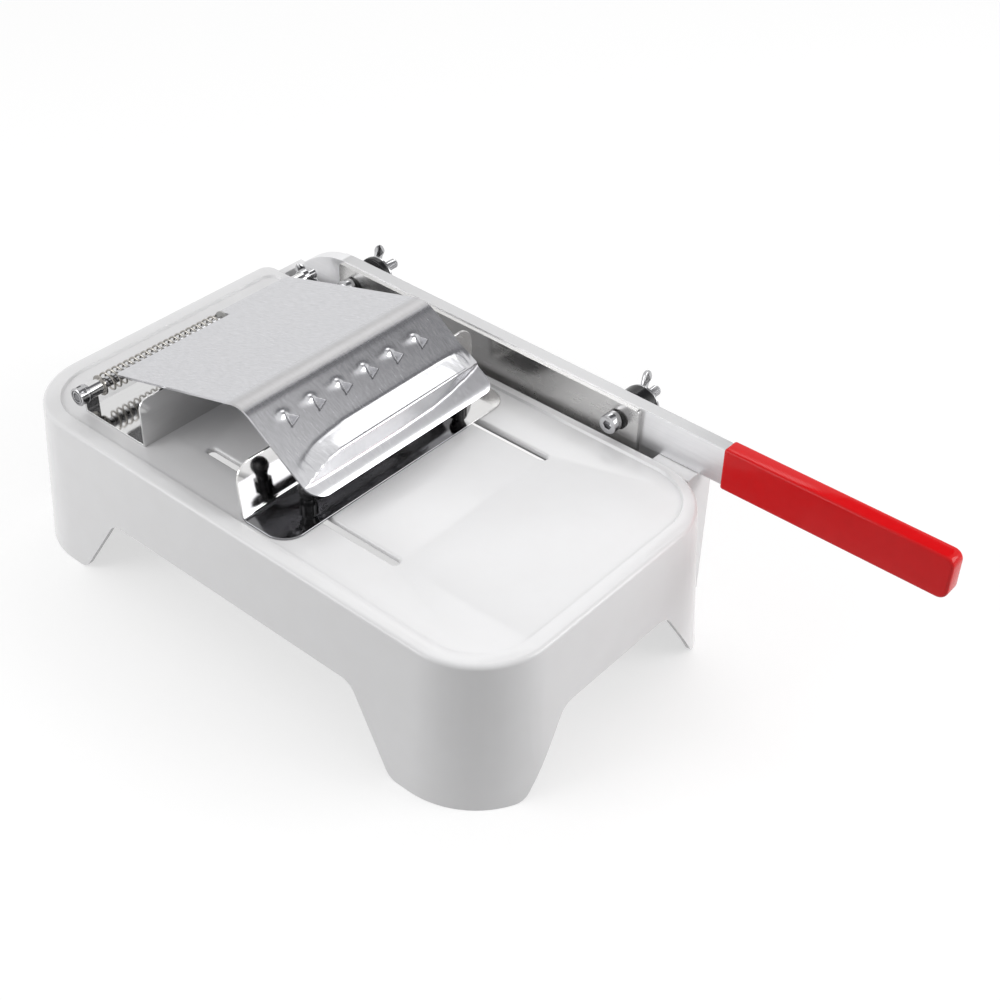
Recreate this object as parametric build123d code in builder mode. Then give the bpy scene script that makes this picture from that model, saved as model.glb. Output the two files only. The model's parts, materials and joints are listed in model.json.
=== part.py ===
"""A hand slicer for frozen meat: a moulded base, a fence, a sprung press plate and a blade on a lever.

Millimetres, +Z up. +Y points away from the person who holds the grip, and +X to the blade's side.
The origin is on the ground, under the middle of the whole object's box.
"""

import math
import os

from build123d import *

os.makedirs("parts", exist_ok=True)

# Base, as moulded
base_width = 193.1
base_length = 350.0
base_height = 90.3
base_corner_radius = 43.5
rear_right_radius = 8.0
draft_degrees = 4.37
wall = 3.0
deck_thickness = 3.0
rim_height = 1.5
rim_width = 10.4
rim_width_right = 6.6
rim_round = 2.4
rim_slope_degrees = 30.0
arch_height = 45.0
arch_side_margin = 56.0
arch_end_margin = 26.0
arch_slope = 0.64
arch_top_radius = 11.0
leg_tip_radius = 9.0
rib_thickness = 2.0
rib_depth = 12.0
rib_inset = 75.0
rib_shares = (0.25, 0.5, 0.75)
cut_overrun = 20.0

# Channel beside the deck that the blade drops into
channel_outer_width = 19.4
channel_front = 24.9
channel_rear_inset = 10.0
channel_wall = 3.4
channel_slot_front = 50.5
channel_slot_rear_wall = 5.0

# Deck slots for the fence
slot_width = 5.0
slot_ahead = 63.0
slot_behind = 76.0
slot_inset_left = 41.1
slot_inset_right = 37.5

# Lever: bar, blade and grip
pivot_from_rear = 74.0
pivot_rise = 13.1
front_bolt_y = 76.2
front_bolt_rise = 11.8
blade_inset = 3.1
blade_thickness = 3.0
blade_ahead = 12.6
blade_behind = 12.5
blade_height = 47.0
blade_top_drop = 0.8
blade_bevel = 9.0
blade_edge = 0.4
blade_corner = 2.0
bar_thickness = 8.0
bar_top_rise = 23.0
bar_gap = 0.3
bar_rise_share = 0.0089
bar_behind = 55.2
bar_nose_length = 47.8
bar_front = -118.0
grip_start = 10.5
grip_end = -122.0
grip_wall = 1.5
grip_wall_below = 2.0
grip_wall_above = 1.2
grip_round = 3.2
grip_end_round = 5.0

# Bolts through the bar
bolt_radius = 3.0
bolt_head_radius = 5.0
bolt_head_length = 6.0
bolt_socket_across = 5.0
bolt_socket_depth = 3.0
bolt_tail = 9.3
bolt_end_round = 0.6
bolt_socket_round = 0.4
ring_thickness = 1.2
ring_radius = 5.2
bolt_play = 0.05
spacer_radius = 11.5
spacer_length = 9.8
spacer_round = 1.2
washer_radius = 11.0
washer_thickness = 1.2
nut_hub_radius = 5.4
nut_hub_top_radius = 4.4
nut_hub_length = 6.0
nut_span = 29.0
nut_wing_rise = 12.0
nut_wing_thickness = 2.2
nut_wing_radius = 3.2
wing_foot_share = 0.15
front_nut_turn = 73.0
pivot_nut_turn = 52.0

# Ear and bush that carry the pivot bolt
ear_ahead = 26.5
ear_length = 53.0
ear_height = 20.7
ear_radius = 6.0
bush_radius = 5.0
bush_flange_radius = 8.0
side_play = 0.1

# Guide rod with its end fittings
rod_radius = 3.0
rod_from_rear = 46.5
rod_rise = 14.7
rod_tail_left = 5.6
rod_overhang = 9.0
sleeve_radius = 5.0
sleeve_flange_radius = 6.2
sleeve_flange = 1.7
sleeve_socket_across = 5.0
sleeve_socket_depth = 1.2
rod_nut_hub_radius = 4.4
rod_nut_length = 4.5
rod_nut_span = 19.0
rod_nut_rise = 8.0
rod_nut_turn = 25.0

# Sheet parts: rear bracket, fence and press plate
sheet = 1.2
bracket_left = 19.0
bracket_inset_right = 13.1
bracket_wall_ahead = 45.5
bracket_wall_height = 28.4
bracket_corner = 6.0
bracket_eye_wall = 1.3
tab_width = 8.5
bracket_stud_radius = 2.5
bracket_stud_inset = 22.0
bracket_stud_front = 12.0
bracket_stud_rear = 34.0
bracket_nut_across = 8.0
bracket_nut_thickness = 4.0
fence_left = 12.0
fence_inset_right = 9.1
fence_top_inset_right = 5.1
fence_foot_length = 32.0
fence_ahead = 83.5
fence_rim_gap = 0.4
fence_step_round = 0.4
fence_height = 32.6
fence_foot_corner = 13.0
fence_top_corner = 9.0
knob_ahead = 18.5
knob_skirt_radius = 4.8
knob_skirt_height = 3.6
knob_neck_radius = 3.1
knob_neck_height = 6.0
knob_ball_radius = 4.9
knob_height = 16.5
knob_flutes = 10
knob_flute_radius = 0.7
stud_radius = 2.4
t_nut_side = 11.0
t_nut_thickness = 4.0
t_nut_gap = 0.25
stud_tail = 3.0

# Press plate on the rod
press_end_gap = 0.5
press_width = 137.0
press_sleeve = 54.0
press_sheet = 1.5
press_barrel_radius = 4.7
press_rear_ahead = 8.1
press_bend_ahead = 110.8
press_bend_rise = 50.0
press_bend_radius = 13.0
press_front_run = 51.8
press_front_drop = 35.1
press_front_corner = 10.0
press_rear_corner = 3.0
press_barrel_corner = 13.0
press_barrel_corner_in = 5.0
tooth_count = 6
tooth_pitch = 19.36
tooth_inset = 19.8
tooth_down = 17.8
tooth_side = 7.0
tooth_height = 3.0
tooth_taper = 24.0
louver_fold = 34.0
louver_slit = 54.0
louver_reach = 15.3
louver_tilt = 29.0
louver_inset_left = 6.0
louver_inset_right = 2.0
louver_shoulder_left = 20.0
louver_shoulder_right = 19.0
louver_shoulder_drop = 8.0
louver_corner = 5.0
bush_sleeve_wall = 0.35
bush_flange_outer = 6.0
bush_flange = 1.0

# Spring on the rod
spring_wire = 1.2
spring_radius = 5.4
spring_turns = 20
spring_end_radius = 1.6
spring_washer_thickness = 0.8
seat_gap = 0.3


def draft_offset(height):
    """How far the base's walls stand out at this height, beyond their place at the top edge."""
    return (base_height - height) * math.tan(math.radians(draft_degrees))


# Places worked out from the sizes above
deck_z = base_height - rim_height
channel_rear = base_length - channel_rear_inset
channel_slot_rear = channel_rear - channel_slot_rear_wall
pivot_y = base_length - pivot_from_rear
pivot_z = deck_z + pivot_rise
front_bolt_z = deck_z + front_bolt_rise
rod_y = base_length - rod_from_rear
rod_z = deck_z + rod_rise
bracket_right = base_width - bracket_inset_right
bracket_wall_y = rod_y - bracket_wall_ahead
rod_start = bracket_left - rod_tail_left
blade_front = front_bolt_y - blade_ahead
blade_rear = pivot_y + blade_behind
bar_rear = pivot_y + bar_behind
bar_nose_start = bar_rear - bar_nose_length
bar_top_front = deck_z + bar_top_rise
ear_front = pivot_y - ear_ahead
fence_right = base_width - fence_inset_right
fence_top_right = base_width - fence_top_inset_right
fence_face_y = bracket_wall_y - fence_ahead
fence_front = fence_face_y - fence_foot_length
knob_y = fence_face_y - knob_ahead
slot_front = knob_y - slot_ahead
slot_rear = knob_y + slot_behind
slot_places = (slot_inset_left, base_width - slot_inset_right)
press_right = bracket_right - tab_width - press_end_gap
press_left = press_right - press_width
press_sleeve_left = press_right - press_sleeve
press_rear = rod_y - press_rear_ahead
press_bend_y = rod_y - press_bend_ahead
press_bend_z = deck_z + press_bend_rise
louver_left = press_left + louver_inset_left
louver_right = press_right - louver_inset_right
deck_under_z = deck_z - deck_thickness
flare = draft_offset(0)
blade_out = base_width + blade_inset
bar_in = blade_out + blade_thickness
bar_out = bar_in + bar_thickness
channel_out = base_width + channel_outer_width
spacer_out = bar_out + spacer_length
nut_seat = spacer_out + washer_thickness
bolt_end = nut_seat + nut_hub_length + bolt_tail
left = -(bolt_end - flare) / 2
front = -(base_length + flare + grip_end) / 2
sheet_top_z = deck_z + sheet

# How the press plate's top slopes down to the barrel round the rod
press_run = math.hypot(rod_y - press_bend_y, press_bend_z - rod_z)
press_fall = math.atan2(press_bend_z - rod_z, rod_y - press_bend_y)
press_tilt = press_fall - math.asin(press_barrel_radius / press_run)
press_front_tilt = math.atan2(press_front_drop, press_front_run)
press_front_length = math.hypot(press_front_drop, press_front_run)
louver_cut_depth = 2.5 * press_sheet


def plan_outline(low, high, big, small):
    """A plan between two corners, with three large corners and a small one at the rear right."""
    with BuildSketch() as outline:
        with BuildLine():
            Line((low[0] + big, low[1]), (high[0] - big, low[1]))
            RadiusArc((high[0] - big, low[1]), (high[0], low[1] + big), -big)
            Line((high[0], low[1] + big), (high[0], high[1] - small))
            RadiusArc((high[0], high[1] - small), (high[0] - small, high[1]), -small)
            Line((high[0] - small, high[1]), (low[0] + big, high[1]))
            RadiusArc((low[0] + big, high[1]), (low[0], high[1] - big), -big)
            Line((low[0], high[1] - big), (low[0], low[1] + big))
            RadiusArc((low[0], low[1] + big), (low[0] + big, low[1]), -big)
        make_face()
    return outline.sketch


def base_outline(grow, height):
    """The base's plan at a height, grown outwards by a distance."""
    out = draft_offset(height) + grow
    low = (left - out, front - out)
    high = (left + base_width + out, front + base_length + out)
    return plan_outline(low, high, base_corner_radius + out, rear_right_radius + out)


def arch_profile(low, high, margin):
    """Opening between two legs, seen from its side, with round leg tips and a round top."""
    run = arch_height * arch_slope
    with BuildSketch() as opening:
        with BuildLine():
            FilletPolyline(
                (low + margin - leg_tip_radius, 0),
                (low + margin, 0),
                (low + margin + run, arch_height),
                (high - margin - run, arch_height),
                (high - margin, 0),
                (high - margin + leg_tip_radius, 0),
                radius=[leg_tip_radius, arch_top_radius, arch_top_radius, leg_tip_radius],
            )
            Polyline(
                (high - margin + leg_tip_radius, 0),
                (high - margin + leg_tip_radius, -cut_overrun),
                (low + margin - leg_tip_radius, -cut_overrun),
                (low + margin - leg_tip_radius, 0),
            )
        make_face()
    return opening.sketch


with BuildPart() as base_housing:
    add(base_outline(0, 0))
    extrude(amount=base_height, taper=draft_degrees)
    fillet(base_housing.edges().group_by(Axis.Z)[-1], rim_round)
    # The channel's box stands against the right side, down to the ground
    box_middle = (left + (base_width - wall + channel_out) / 2, front + (channel_front + channel_rear) / 2)
    with BuildSketch():
        with Locations(box_middle):
            Rectangle(channel_out - base_width + wall, channel_rear - channel_front)
    extrude(amount=deck_z)
    # The hollow under the deck
    add(base_outline(-wall, 0))
    extrude(amount=deck_under_z, taper=draft_degrees, mode=Mode.SUBTRACT)
    # The deck lies a little below the rim
    inner_low = (left + rim_width, front + rim_width)
    inner_high = (left + base_width - rim_width_right, front + base_length - rim_width)
    with BuildSketch(Plane.XY.offset(deck_z)):
        add(plan_outline(inner_low, inner_high, base_corner_radius - rim_width, rear_right_radius))
    extrude(amount=cut_overrun, taper=-rim_slope_degrees, mode=Mode.SUBTRACT)
    # The channel is open at its top behind the closed front end, and hollow below that
    with BuildSketch():
        slot_x = left + (base_width + channel_out - channel_wall) / 2
        with Locations((slot_x, front + (channel_slot_front + channel_slot_rear) / 2)):
            Rectangle(channel_outer_width - channel_wall, channel_slot_rear - channel_slot_front)
    extrude(amount=base_height + cut_overrun, mode=Mode.SUBTRACT)
    with BuildSketch():
        with Locations((slot_x, front + (channel_front + wall + channel_slot_front) / 2)):
            Rectangle(channel_outer_width - channel_wall, channel_slot_front - channel_front - wall)
    extrude(amount=deck_under_z, mode=Mode.SUBTRACT)
    # Openings between the legs, through all four sides
    with BuildSketch(Plane.YZ.offset(left - cut_overrun)):
        add(arch_profile(front, front + base_length, arch_side_margin))
    extrude(amount=base_width + channel_outer_width + 2 * cut_overrun, mode=Mode.SUBTRACT)
    with BuildSketch(Plane.XZ.offset(-front - base_length - cut_overrun)):
        add(arch_profile(left, left + base_width, arch_end_margin))
    extrude(amount=base_length + 2 * cut_overrun, mode=Mode.SUBTRACT)
    # Slots for the fence's studs
    with BuildSketch(Plane.XY.offset(deck_under_z - cut_overrun)):
        for inset in slot_places:
            with Locations((left + inset, front + (slot_front + slot_rear) / 2)):
                SlotOverall(slot_rear - slot_front, slot_width, rotation=90)
    extrude(amount=deck_thickness + 2 * cut_overrun, mode=Mode.SUBTRACT)
    # Ribs under the deck, clear of the slots
    with BuildSketch(Plane.XY.offset(deck_under_z - rib_depth)):
        for inset in (rib_inset, base_width - rib_inset):
            with Locations((left + inset, front + base_length / 2)):
                Rectangle(rib_thickness, base_length - 2 * wall)
        for share in rib_shares:
            with Locations((left + base_width / 2, front + base_length * share)):
                Rectangle(base_width - 2 * rib_inset, rib_thickness)
    extrude(amount=rib_depth + deck_thickness / 2)
    # Ear that carries the lever's pivot
    with BuildSketch(Plane.YZ.offset(left + channel_out - channel_wall)):
        with Locations((front + ear_front + ear_length / 2, deck_z)):
            RectangleRounded(ear_length, 2 * ear_height, ear_radius)
        with Locations((front + pivot_y, pivot_z)):
            Circle(bush_radius, mode=Mode.SUBTRACT)
    extrude(amount=channel_wall)
    # Holes for the bracket's studs
    with BuildSketch(Plane.XY.offset(deck_under_z - cut_overrun)):
        for x in (bracket_left + bracket_stud_inset, bracket_right - bracket_stud_inset):
            for y in (bracket_wall_y + bracket_stud_front, bracket_wall_y + bracket_stud_rear):
                with Locations((left + x, front + y)):
                    Circle(bracket_stud_radius + side_play)
    extrude(amount=deck_thickness + 2 * cut_overrun, mode=Mode.SUBTRACT)
base_housing.part.label = "base_housing"
export_step(base_housing.part, "parts/base_housing.step")

with BuildPart() as pivot_bush:
    with BuildSketch(Plane.YZ.offset(left + bar_out + side_play)):
        with Locations((front + pivot_y, pivot_z)):
            Circle(bush_flange_radius)
    extrude(amount=channel_out - channel_wall - bar_out - side_play)
    with BuildSketch(Plane.YZ.offset(left + channel_out - channel_wall)):
        with Locations((front + pivot_y, pivot_z)):
            Circle(bush_radius)
    extrude(amount=channel_wall)
    with BuildSketch(Plane.YZ.offset(left + bar_out)):
        with Locations((front + pivot_y, pivot_z)):
            Circle(bolt_radius + bolt_play)
    extrude(amount=cut_overrun, mode=Mode.SUBTRACT)
pivot_bush.part.label = "pivot_bush"
export_step(pivot_bush.part, "parts/pivot_bush.step")


def eye_profile():
    """The bracket's end tab as a section, from its foot up and round the rod, with Y and Z as its axes."""
    outer = rod_radius + bolt_play + bracket_eye_wall
    with BuildSketch() as section:
        with Locations((front + rod_y, rod_z)):
            Circle(outer)
        with Locations((front + rod_y + outer - bracket_eye_wall / 2, (deck_z + rod_z) / 2)):
            Rectangle(bracket_eye_wall, rod_z - deck_z)
        with Locations((front + rod_y, rod_z)):
            Circle(rod_radius + bolt_play, mode=Mode.SUBTRACT)
    return section.sketch


bracket_rear = rod_y + rod_radius + bolt_play + bracket_eye_wall
with BuildPart() as rear_wall_bracket:
    # Foot on the deck
    foot_middle = (left + (bracket_left + bracket_right) / 2, front + (bracket_wall_y + bracket_rear) / 2)
    with BuildSketch(Plane.XY.offset(deck_z)):
        with Locations(foot_middle):
            Rectangle(bracket_right - bracket_left, bracket_rear - bracket_wall_y)
    extrude(amount=sheet)
    # Upstand behind the food, with rounded top corners
    with BuildSketch(Plane.XZ.offset(-front - bracket_wall_y)):
        with BuildLine():
            FilletPolyline(
                (left + bracket_left, deck_z),
                (left + bracket_left, deck_z + sheet + bracket_wall_height),
                (left + bracket_right, deck_z + sheet + bracket_wall_height),
                (left + bracket_right, deck_z),
                radius=bracket_corner,
            )
            Line((left + bracket_right, deck_z), (left + bracket_left, deck_z))
        make_face()
    extrude(amount=-sheet)
    # A tab at each end, rolled round the rod
    for x in (bracket_left, bracket_right - tab_width):
        with BuildSketch(Plane.YZ.offset(left + x)):
            add(eye_profile())
        extrude(amount=tab_width)
rear_wall_bracket.part.label = "rear_wall_bracket"
export_step(rear_wall_bracket.part, "parts/rear_wall_bracket.step")

with BuildPart() as bracket_studs:
    # Studs welded under the bracket's foot, through the deck
    for x in (bracket_left + bracket_stud_inset, bracket_right - bracket_stud_inset):
        for y in (bracket_wall_y + bracket_stud_front, bracket_wall_y + bracket_stud_rear):
            with BuildSketch(Plane.XY.offset(deck_z)):
                with Locations((left + x, front + y)):
                    Circle(bracket_stud_radius)
            extrude(amount=-deck_thickness - bracket_nut_thickness - stud_tail)
bracket_studs.part.label = "bracket_studs"
export_step(bracket_studs.part, "parts/bracket_studs.step")

with BuildPart() as bracket_nuts:
    for x in (bracket_left + bracket_stud_inset, bracket_right - bracket_stud_inset):
        for y in (bracket_wall_y + bracket_stud_front, bracket_wall_y + bracket_stud_rear):
            with BuildSketch(Plane.XY.offset(deck_under_z)):
                with Locations((left + x, front + y)):
                    RegularPolygon(bracket_nut_across / 2, side_count=6, major_radius=False)
                    Circle(bracket_stud_radius + bolt_play, mode=Mode.SUBTRACT)
            extrude(amount=-bracket_nut_thickness)
bracket_nuts.part.label = "bracket_nuts"
export_step(bracket_nuts.part, "parts/bracket_nuts.step")

with BuildPart() as guide_rod:
    with BuildSketch(Plane.YZ.offset(left + rod_start)):
        with Locations((front + rod_y, rod_z)):
            Circle(rod_radius)
    extrude(amount=bracket_right + rod_overhang - rod_start)
guide_rod.part.label = "guide_rod"
export_step(guide_rod.part, "parts/guide_rod.step")

with BuildPart() as rod_sleeve_nut:
    # A flanged sleeve nut that closes the rod's left end, with a hexagon in its face
    with BuildSketch(Plane.YZ.offset(left + bracket_left)):
        with Locations((front + rod_y, rod_z)):
            Circle(sleeve_radius)
    extrude(amount=rod_start - bracket_left)
    with BuildSketch(Plane.YZ.offset(left + rod_start)):
        with Locations((front + rod_y, rod_z)):
            Circle(sleeve_flange_radius)
    extrude(amount=-sleeve_flange)
    with BuildSketch(Plane.YZ.offset(left + rod_start)):
        with Locations((front + rod_y, rod_z)):
            Circle(rod_radius + bolt_play)
    extrude(amount=cut_overrun, mode=Mode.SUBTRACT)
    with BuildSketch(Plane.YZ.offset(left + rod_start - sleeve_flange)):
        with Locations((front + rod_y, rod_z)):
            RegularPolygon(sleeve_socket_across / 2, side_count=6, major_radius=False)
    extrude(amount=sleeve_socket_depth, mode=Mode.SUBTRACT)
rod_sleeve_nut.part.label = "rod_sleeve_nut"
export_step(rod_sleeve_nut.part, "parts/rod_sleeve_nut.step")


def wing_nut(seat_point, turn, hub, hub_top, length, span, rise):
    """A wing nut seated at a point, its axis along +X, with its wings turned about that axis."""
    across = Vector(0, math.cos(math.radians(turn)), math.sin(math.radians(turn)))
    axial = Vector(1, 0, 0)
    seat = Plane(origin=seat_point, x_dir=across, z_dir=axial)
    through_wings = Plane(origin=seat_point, x_dir=across, z_dir=across.cross(axial))
    with BuildPart() as nut:
        with BuildSketch(seat):
            Circle(hub)
        with BuildSketch(seat.offset(length)):
            Circle(hub_top)
        loft()
        for side in (1, -1):
            tip = side * span / 2
            top = side * (span / 2 - nut_wing_radius)
            inner = side * (span / 2 - 2 * nut_wing_radius)
            shoulder = rise - nut_wing_radius
            with BuildSketch(through_wings):
                with BuildLine():
                    Polyline((0, 0), (side * hub, length * wing_foot_share), (tip, shoulder))
                    ThreePointArc((tip, shoulder), (top, rise), (inner, shoulder))
                    Polyline((inner, shoulder), (0, length), (0, 0))
                make_face()
            extrude(amount=nut_wing_thickness / 2, both=True)
        with BuildSketch(seat):
            Circle(bolt_radius + bolt_play)
        extrude(amount=rise, mode=Mode.SUBTRACT)
    return nut.part


rod_wing_nut = wing_nut(
    (left + bracket_right, front + rod_y, rod_z),
    rod_nut_turn,
    rod_nut_hub_radius,
    rod_nut_hub_radius,
    rod_nut_length,
    rod_nut_span,
    rod_nut_rise,
)
rod_wing_nut.label = "rod_wing_nut"
export_step(rod_wing_nut, "parts/rod_wing_nut.step")

with BuildPart() as spring_washer:
    with BuildSketch(Plane.YZ.offset(left + bracket_left + tab_width)):
        with Locations((front + rod_y, rod_z)):
            Circle(bush_flange_outer)
            Circle(rod_radius + bolt_play, mode=Mode.SUBTRACT)
    extrude(amount=spring_washer_thickness)
spring_washer.part.label = "spring_washer"
export_step(spring_washer.part, "parts/spring_washer.step")

# The flanged bush slides along the rod, takes the spring's end and lines the press plate's barrel
bush_sleeve_radius = rod_radius + bolt_play + bush_sleeve_wall
with BuildPart() as slide_bush:
    with BuildSketch(Plane.YZ.offset(left + press_sleeve_left)):
        with Locations((front + rod_y, rod_z)):
            Circle(bush_flange_outer)
    extrude(amount=-bush_flange)
    with BuildSketch(Plane.YZ.offset(left + press_sleeve_left)):
        with Locations((front + rod_y, rod_z)):
            Circle(bush_sleeve_radius)
    extrude(amount=press_right - press_barrel_corner_in - press_sleeve_left)
    with BuildSketch(Plane.YZ.offset(left)):
        with Locations((front + rod_y, rod_z)):
            Circle(rod_radius + bolt_play)
    extrude(amount=bracket_right, mode=Mode.SUBTRACT)
slide_bush.part.label = "slide_bush"
export_step(slide_bush.part, "parts/slide_bush.step")

# Spring: half turns of a helix, each as two tangent arcs, with ends that run straight into their seats
spring_from = left + bracket_left + tab_width + spring_washer_thickness + seat_gap
spring_to = left + press_sleeve_left - bush_flange - seat_gap
coil_from = spring_from + spring_wire + spring_end_radius
coil_to = spring_to - spring_wire - spring_end_radius
spring_pitch = (coil_to - coil_from) / spring_turns


def helix_point(angle):
    """Centre of the wire after this angle, in radians."""
    return Vector(
        coil_from + spring_pitch * angle / (2 * math.pi),
        front + rod_y + spring_radius * math.cos(angle),
        rod_z + spring_radius * math.sin(angle),
    )


def helix_tangent(angle):
    """Way in which the wire runs after this angle."""
    return Vector(
        spring_pitch / (2 * math.pi),
        -spring_radius * math.sin(angle),
        spring_radius * math.cos(angle),
    ).normalized()


def biarc_joint(start, start_way, end, end_way):
    """Where two arcs meet that leave and arrive in the given ways, and the way there."""
    chord = end - start
    ways = start_way + end_way
    spread = 1 - start_way.dot(end_way)
    reach = math.sqrt(chord.dot(ways) ** 2 + 2 * spread * chord.dot(chord)) - chord.dot(ways)
    reach = reach / (2 * spread)
    first = start + start_way * reach
    second = end - end_way * reach
    return (first + second) / 2, (second - first).normalized()


along = Vector(1, 0, 0)
half_turns = 2 * spring_turns
with BuildPart() as feed_spring:
    with BuildLine() as spring_path:
        first = helix_point(0)
        first_way = helix_tangent(0)
        lead = first - first_way * spring_end_radius - along * spring_end_radius
        Line(lead - along * spring_wire, lead)
        TangentArc(lead, first, tangent=along)
        for half in range(half_turns):
            start_angle = math.pi * half
            end_angle = math.pi * (half + 1)
            start = helix_point(start_angle)
            end = helix_point(end_angle)
            start_way = helix_tangent(start_angle)
            end_way = helix_tangent(end_angle)
            joint, joint_way = biarc_joint(start, start_way, end, end_way)
            TangentArc(start, joint, tangent=start_way)
            TangentArc(joint, end, tangent=joint_way)
        last = helix_point(math.pi * half_turns)
        last_way = helix_tangent(math.pi * half_turns)
        tail = last + last_way * spring_end_radius + along * spring_end_radius
        TangentArc(last, tail, tangent=last_way)
        Line(tail, tail + along * spring_wire)
    with BuildSketch(Plane(origin=lead - along * spring_wire, z_dir=along)):
        Circle(spring_wire / 2)
    sweep()
feed_spring.part.label = "feed_spring"
export_step(feed_spring.part, "parts/feed_spring.step")
wire_volume = math.pi * spring_wire ** 2 / 4 * spring_path.wire().length
print("spring", feed_spring.part.is_valid, feed_spring.part.volume, wire_volume)


def least_coil_gap():
    """Smallest distance between the wire's surface and the same wire one turn and more further on."""
    samples_per_turn = 24
    step = 2 * math.pi / samples_per_turn
    points = [helix_point(step * i) for i in range(spring_turns * samples_per_turn + 1)]
    gaps = []
    for i, point in enumerate(points):
        for other in points[i + samples_per_turn // 2:i + 2 * samples_per_turn]:
            gaps.append((other - point).length - spring_wire)
    return min(gaps)


print("least gap between the spring's coils", round(least_coil_gap(), 2))


# Press plate: a top, a toothed front slope with a finger louver, and a barrel rolled round the bush
top_way = Vector(0, math.cos(press_tilt), -math.sin(press_tilt))
top_normal = Vector(0, math.sin(press_tilt), math.cos(press_tilt))
slope_way = Vector(0, -math.cos(press_front_tilt), -math.sin(press_front_tilt))
slope_normal = Vector(0, -math.sin(press_front_tilt), math.cos(press_front_tilt))
bend_point = Vector(left, front + press_bend_y, press_bend_z)
barrel_centre = Vector(left, front + rod_y, rod_z)
edge_point = bend_point + slope_way * press_front_length
rear_point = bend_point + top_way * ((press_rear - press_bend_y) / math.cos(press_tilt))
barrel_point = barrel_centre + top_normal * press_barrel_radius
# Sketch planes that lie on the plate's upper faces: x runs to the blade, y runs down the slope or to the rear
slope_plane = Plane(origin=bend_point, x_dir=(-1, 0, 0), z_dir=slope_normal)
top_plane = Plane(origin=bend_point, x_dir=(1, 0, 0), z_dir=top_normal)
# The louver's lip leaves the slope at its fold and tilts outwards
lip_turn = math.radians(louver_tilt)
lip_normal = slope_normal * math.cos(lip_turn) - slope_way * math.sin(lip_turn)
louver_plane = Plane(origin=bend_point + slope_way * louver_fold, x_dir=(-1, 0, 0), z_dir=lip_normal)


def in_section(point):
    """A point's place in a section seen along X."""
    return (point.Y, point.Z)


def bent_section():
    """The plate's bent sheet as a section, from its free edge over the bend to its rear edge."""
    with BuildSketch() as section:
        with BuildLine():
            FilletPolyline(
                in_section(edge_point),
                in_section(bend_point),
                in_section(rear_point),
                radius=press_bend_radius,
            )
            offset(amount=press_sheet, side=Side.RIGHT)
        make_face()
    return section.sketch


def is_sheet_edge(edge):
    """Whether an edge runs through the sheet's thickness."""
    return abs(edge.length - press_sheet) < press_sheet / 10


with BuildPart() as press_plate:
    with BuildSketch(Plane.YZ.offset(left + press_left)):
        add(bent_section())
    extrude(amount=press_right - press_left)
    # Rounded corners: two at the free edge and one at the rear left
    short_edges = press_plate.edges().filter_by(is_sheet_edge)
    fillet(short_edges.sort_by(Axis.Y)[:2], press_front_corner)
    rear_edges = press_plate.edges().filter_by(is_sheet_edge)
    fillet(rear_edges.sort_by(Axis.Y)[-2:].sort_by(Axis.X)[0], press_rear_corner)
    # The right part runs on and is rolled round the bush
    with BuildSketch(Plane.YZ.offset(left + press_sleeve_left)):
        with BuildLine():
            Polyline(
                in_section(rear_point),
                in_section(barrel_point),
                in_section(barrel_point - top_normal * press_sheet),
                in_section(rear_point - top_normal * press_sheet),
                close=True,
            )
        make_face()
        with Locations(in_section(barrel_centre)):
            Circle(press_barrel_radius)
            Circle(bush_sleeve_radius + bolt_play, mode=Mode.SUBTRACT)
    extrude(amount=press_right - press_sleeve_left)
    with BuildSketch(Plane.YZ.offset(left + press_left)):
        with Locations(in_section(barrel_centre)):
            Circle(bush_sleeve_radius + bolt_play)
    extrude(amount=press_right - press_left, mode=Mode.SUBTRACT)
    # Its rear right corner is cut round, through the barrel too
    corner_end = (barrel_point - bend_point).dot(top_way) + press_barrel_radius
    corner_start = corner_end - press_barrel_corner
    with BuildSketch(top_plane.offset(press_barrel_radius)):
        with BuildLine():
            TangentArc(
                (press_right, corner_start),
                (press_right - press_barrel_corner_in, corner_end),
                tangent=(0, 1),
            )
            Polyline(
                (press_right - press_barrel_corner_in, corner_end),
                (press_right - press_barrel_corner_in, corner_end + cut_overrun),
                (press_right + cut_overrun, corner_end + cut_overrun),
                (press_right + cut_overrun, corner_start),
                (press_right, corner_start),
            )
        make_face()
    extrude(amount=-cut_overrun, mode=Mode.SUBTRACT)
    # Finger louver: a long hole with its upper edge bent out as a lip
    with BuildSketch(slope_plane.offset(press_sheet)):
        with BuildLine():
            FilletPolyline(
                (-louver_left, louver_slit),
                (-louver_left, (louver_fold + louver_slit) / 2),
                (-louver_left - louver_shoulder_left, louver_fold),
                (-louver_right, louver_fold),
                (-louver_right, louver_slit - louver_shoulder_drop),
                (-louver_right + louver_shoulder_right, louver_slit),
                radius=press_rear_corner,
                close=True,
            )
        make_face()
    extrude(amount=-louver_cut_depth, mode=Mode.SUBTRACT)
    with BuildSketch(louver_plane):
        with BuildLine():
            FilletPolyline(
                (-louver_left - louver_shoulder_left, -press_sheet),
                (-louver_left - louver_shoulder_left, louver_reach),
                (-louver_right, louver_reach),
                (-louver_right, -press_sheet),
                radius=louver_corner,
            )
            Line((-louver_right, -press_sheet), (-louver_left - louver_shoulder_left, -press_sheet))
        make_face()
    extrude(amount=-press_sheet)
    # Six teeth pressed out of the sheet, hollow underneath
    for level, cut_mode in ((0, Mode.ADD), (press_sheet, Mode.SUBTRACT)):
        with BuildSketch(slope_plane.offset(-level)):
            for i in range(tooth_count):
                with Locations((-press_left - tooth_inset - tooth_pitch * i, tooth_down)):
                    RegularPolygon(radius=tooth_side / math.sqrt(3), side_count=3, rotation=180)
        extrude(amount=tooth_height, taper=tooth_taper, mode=cut_mode)
press_plate.part.label = "press_plate"
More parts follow.
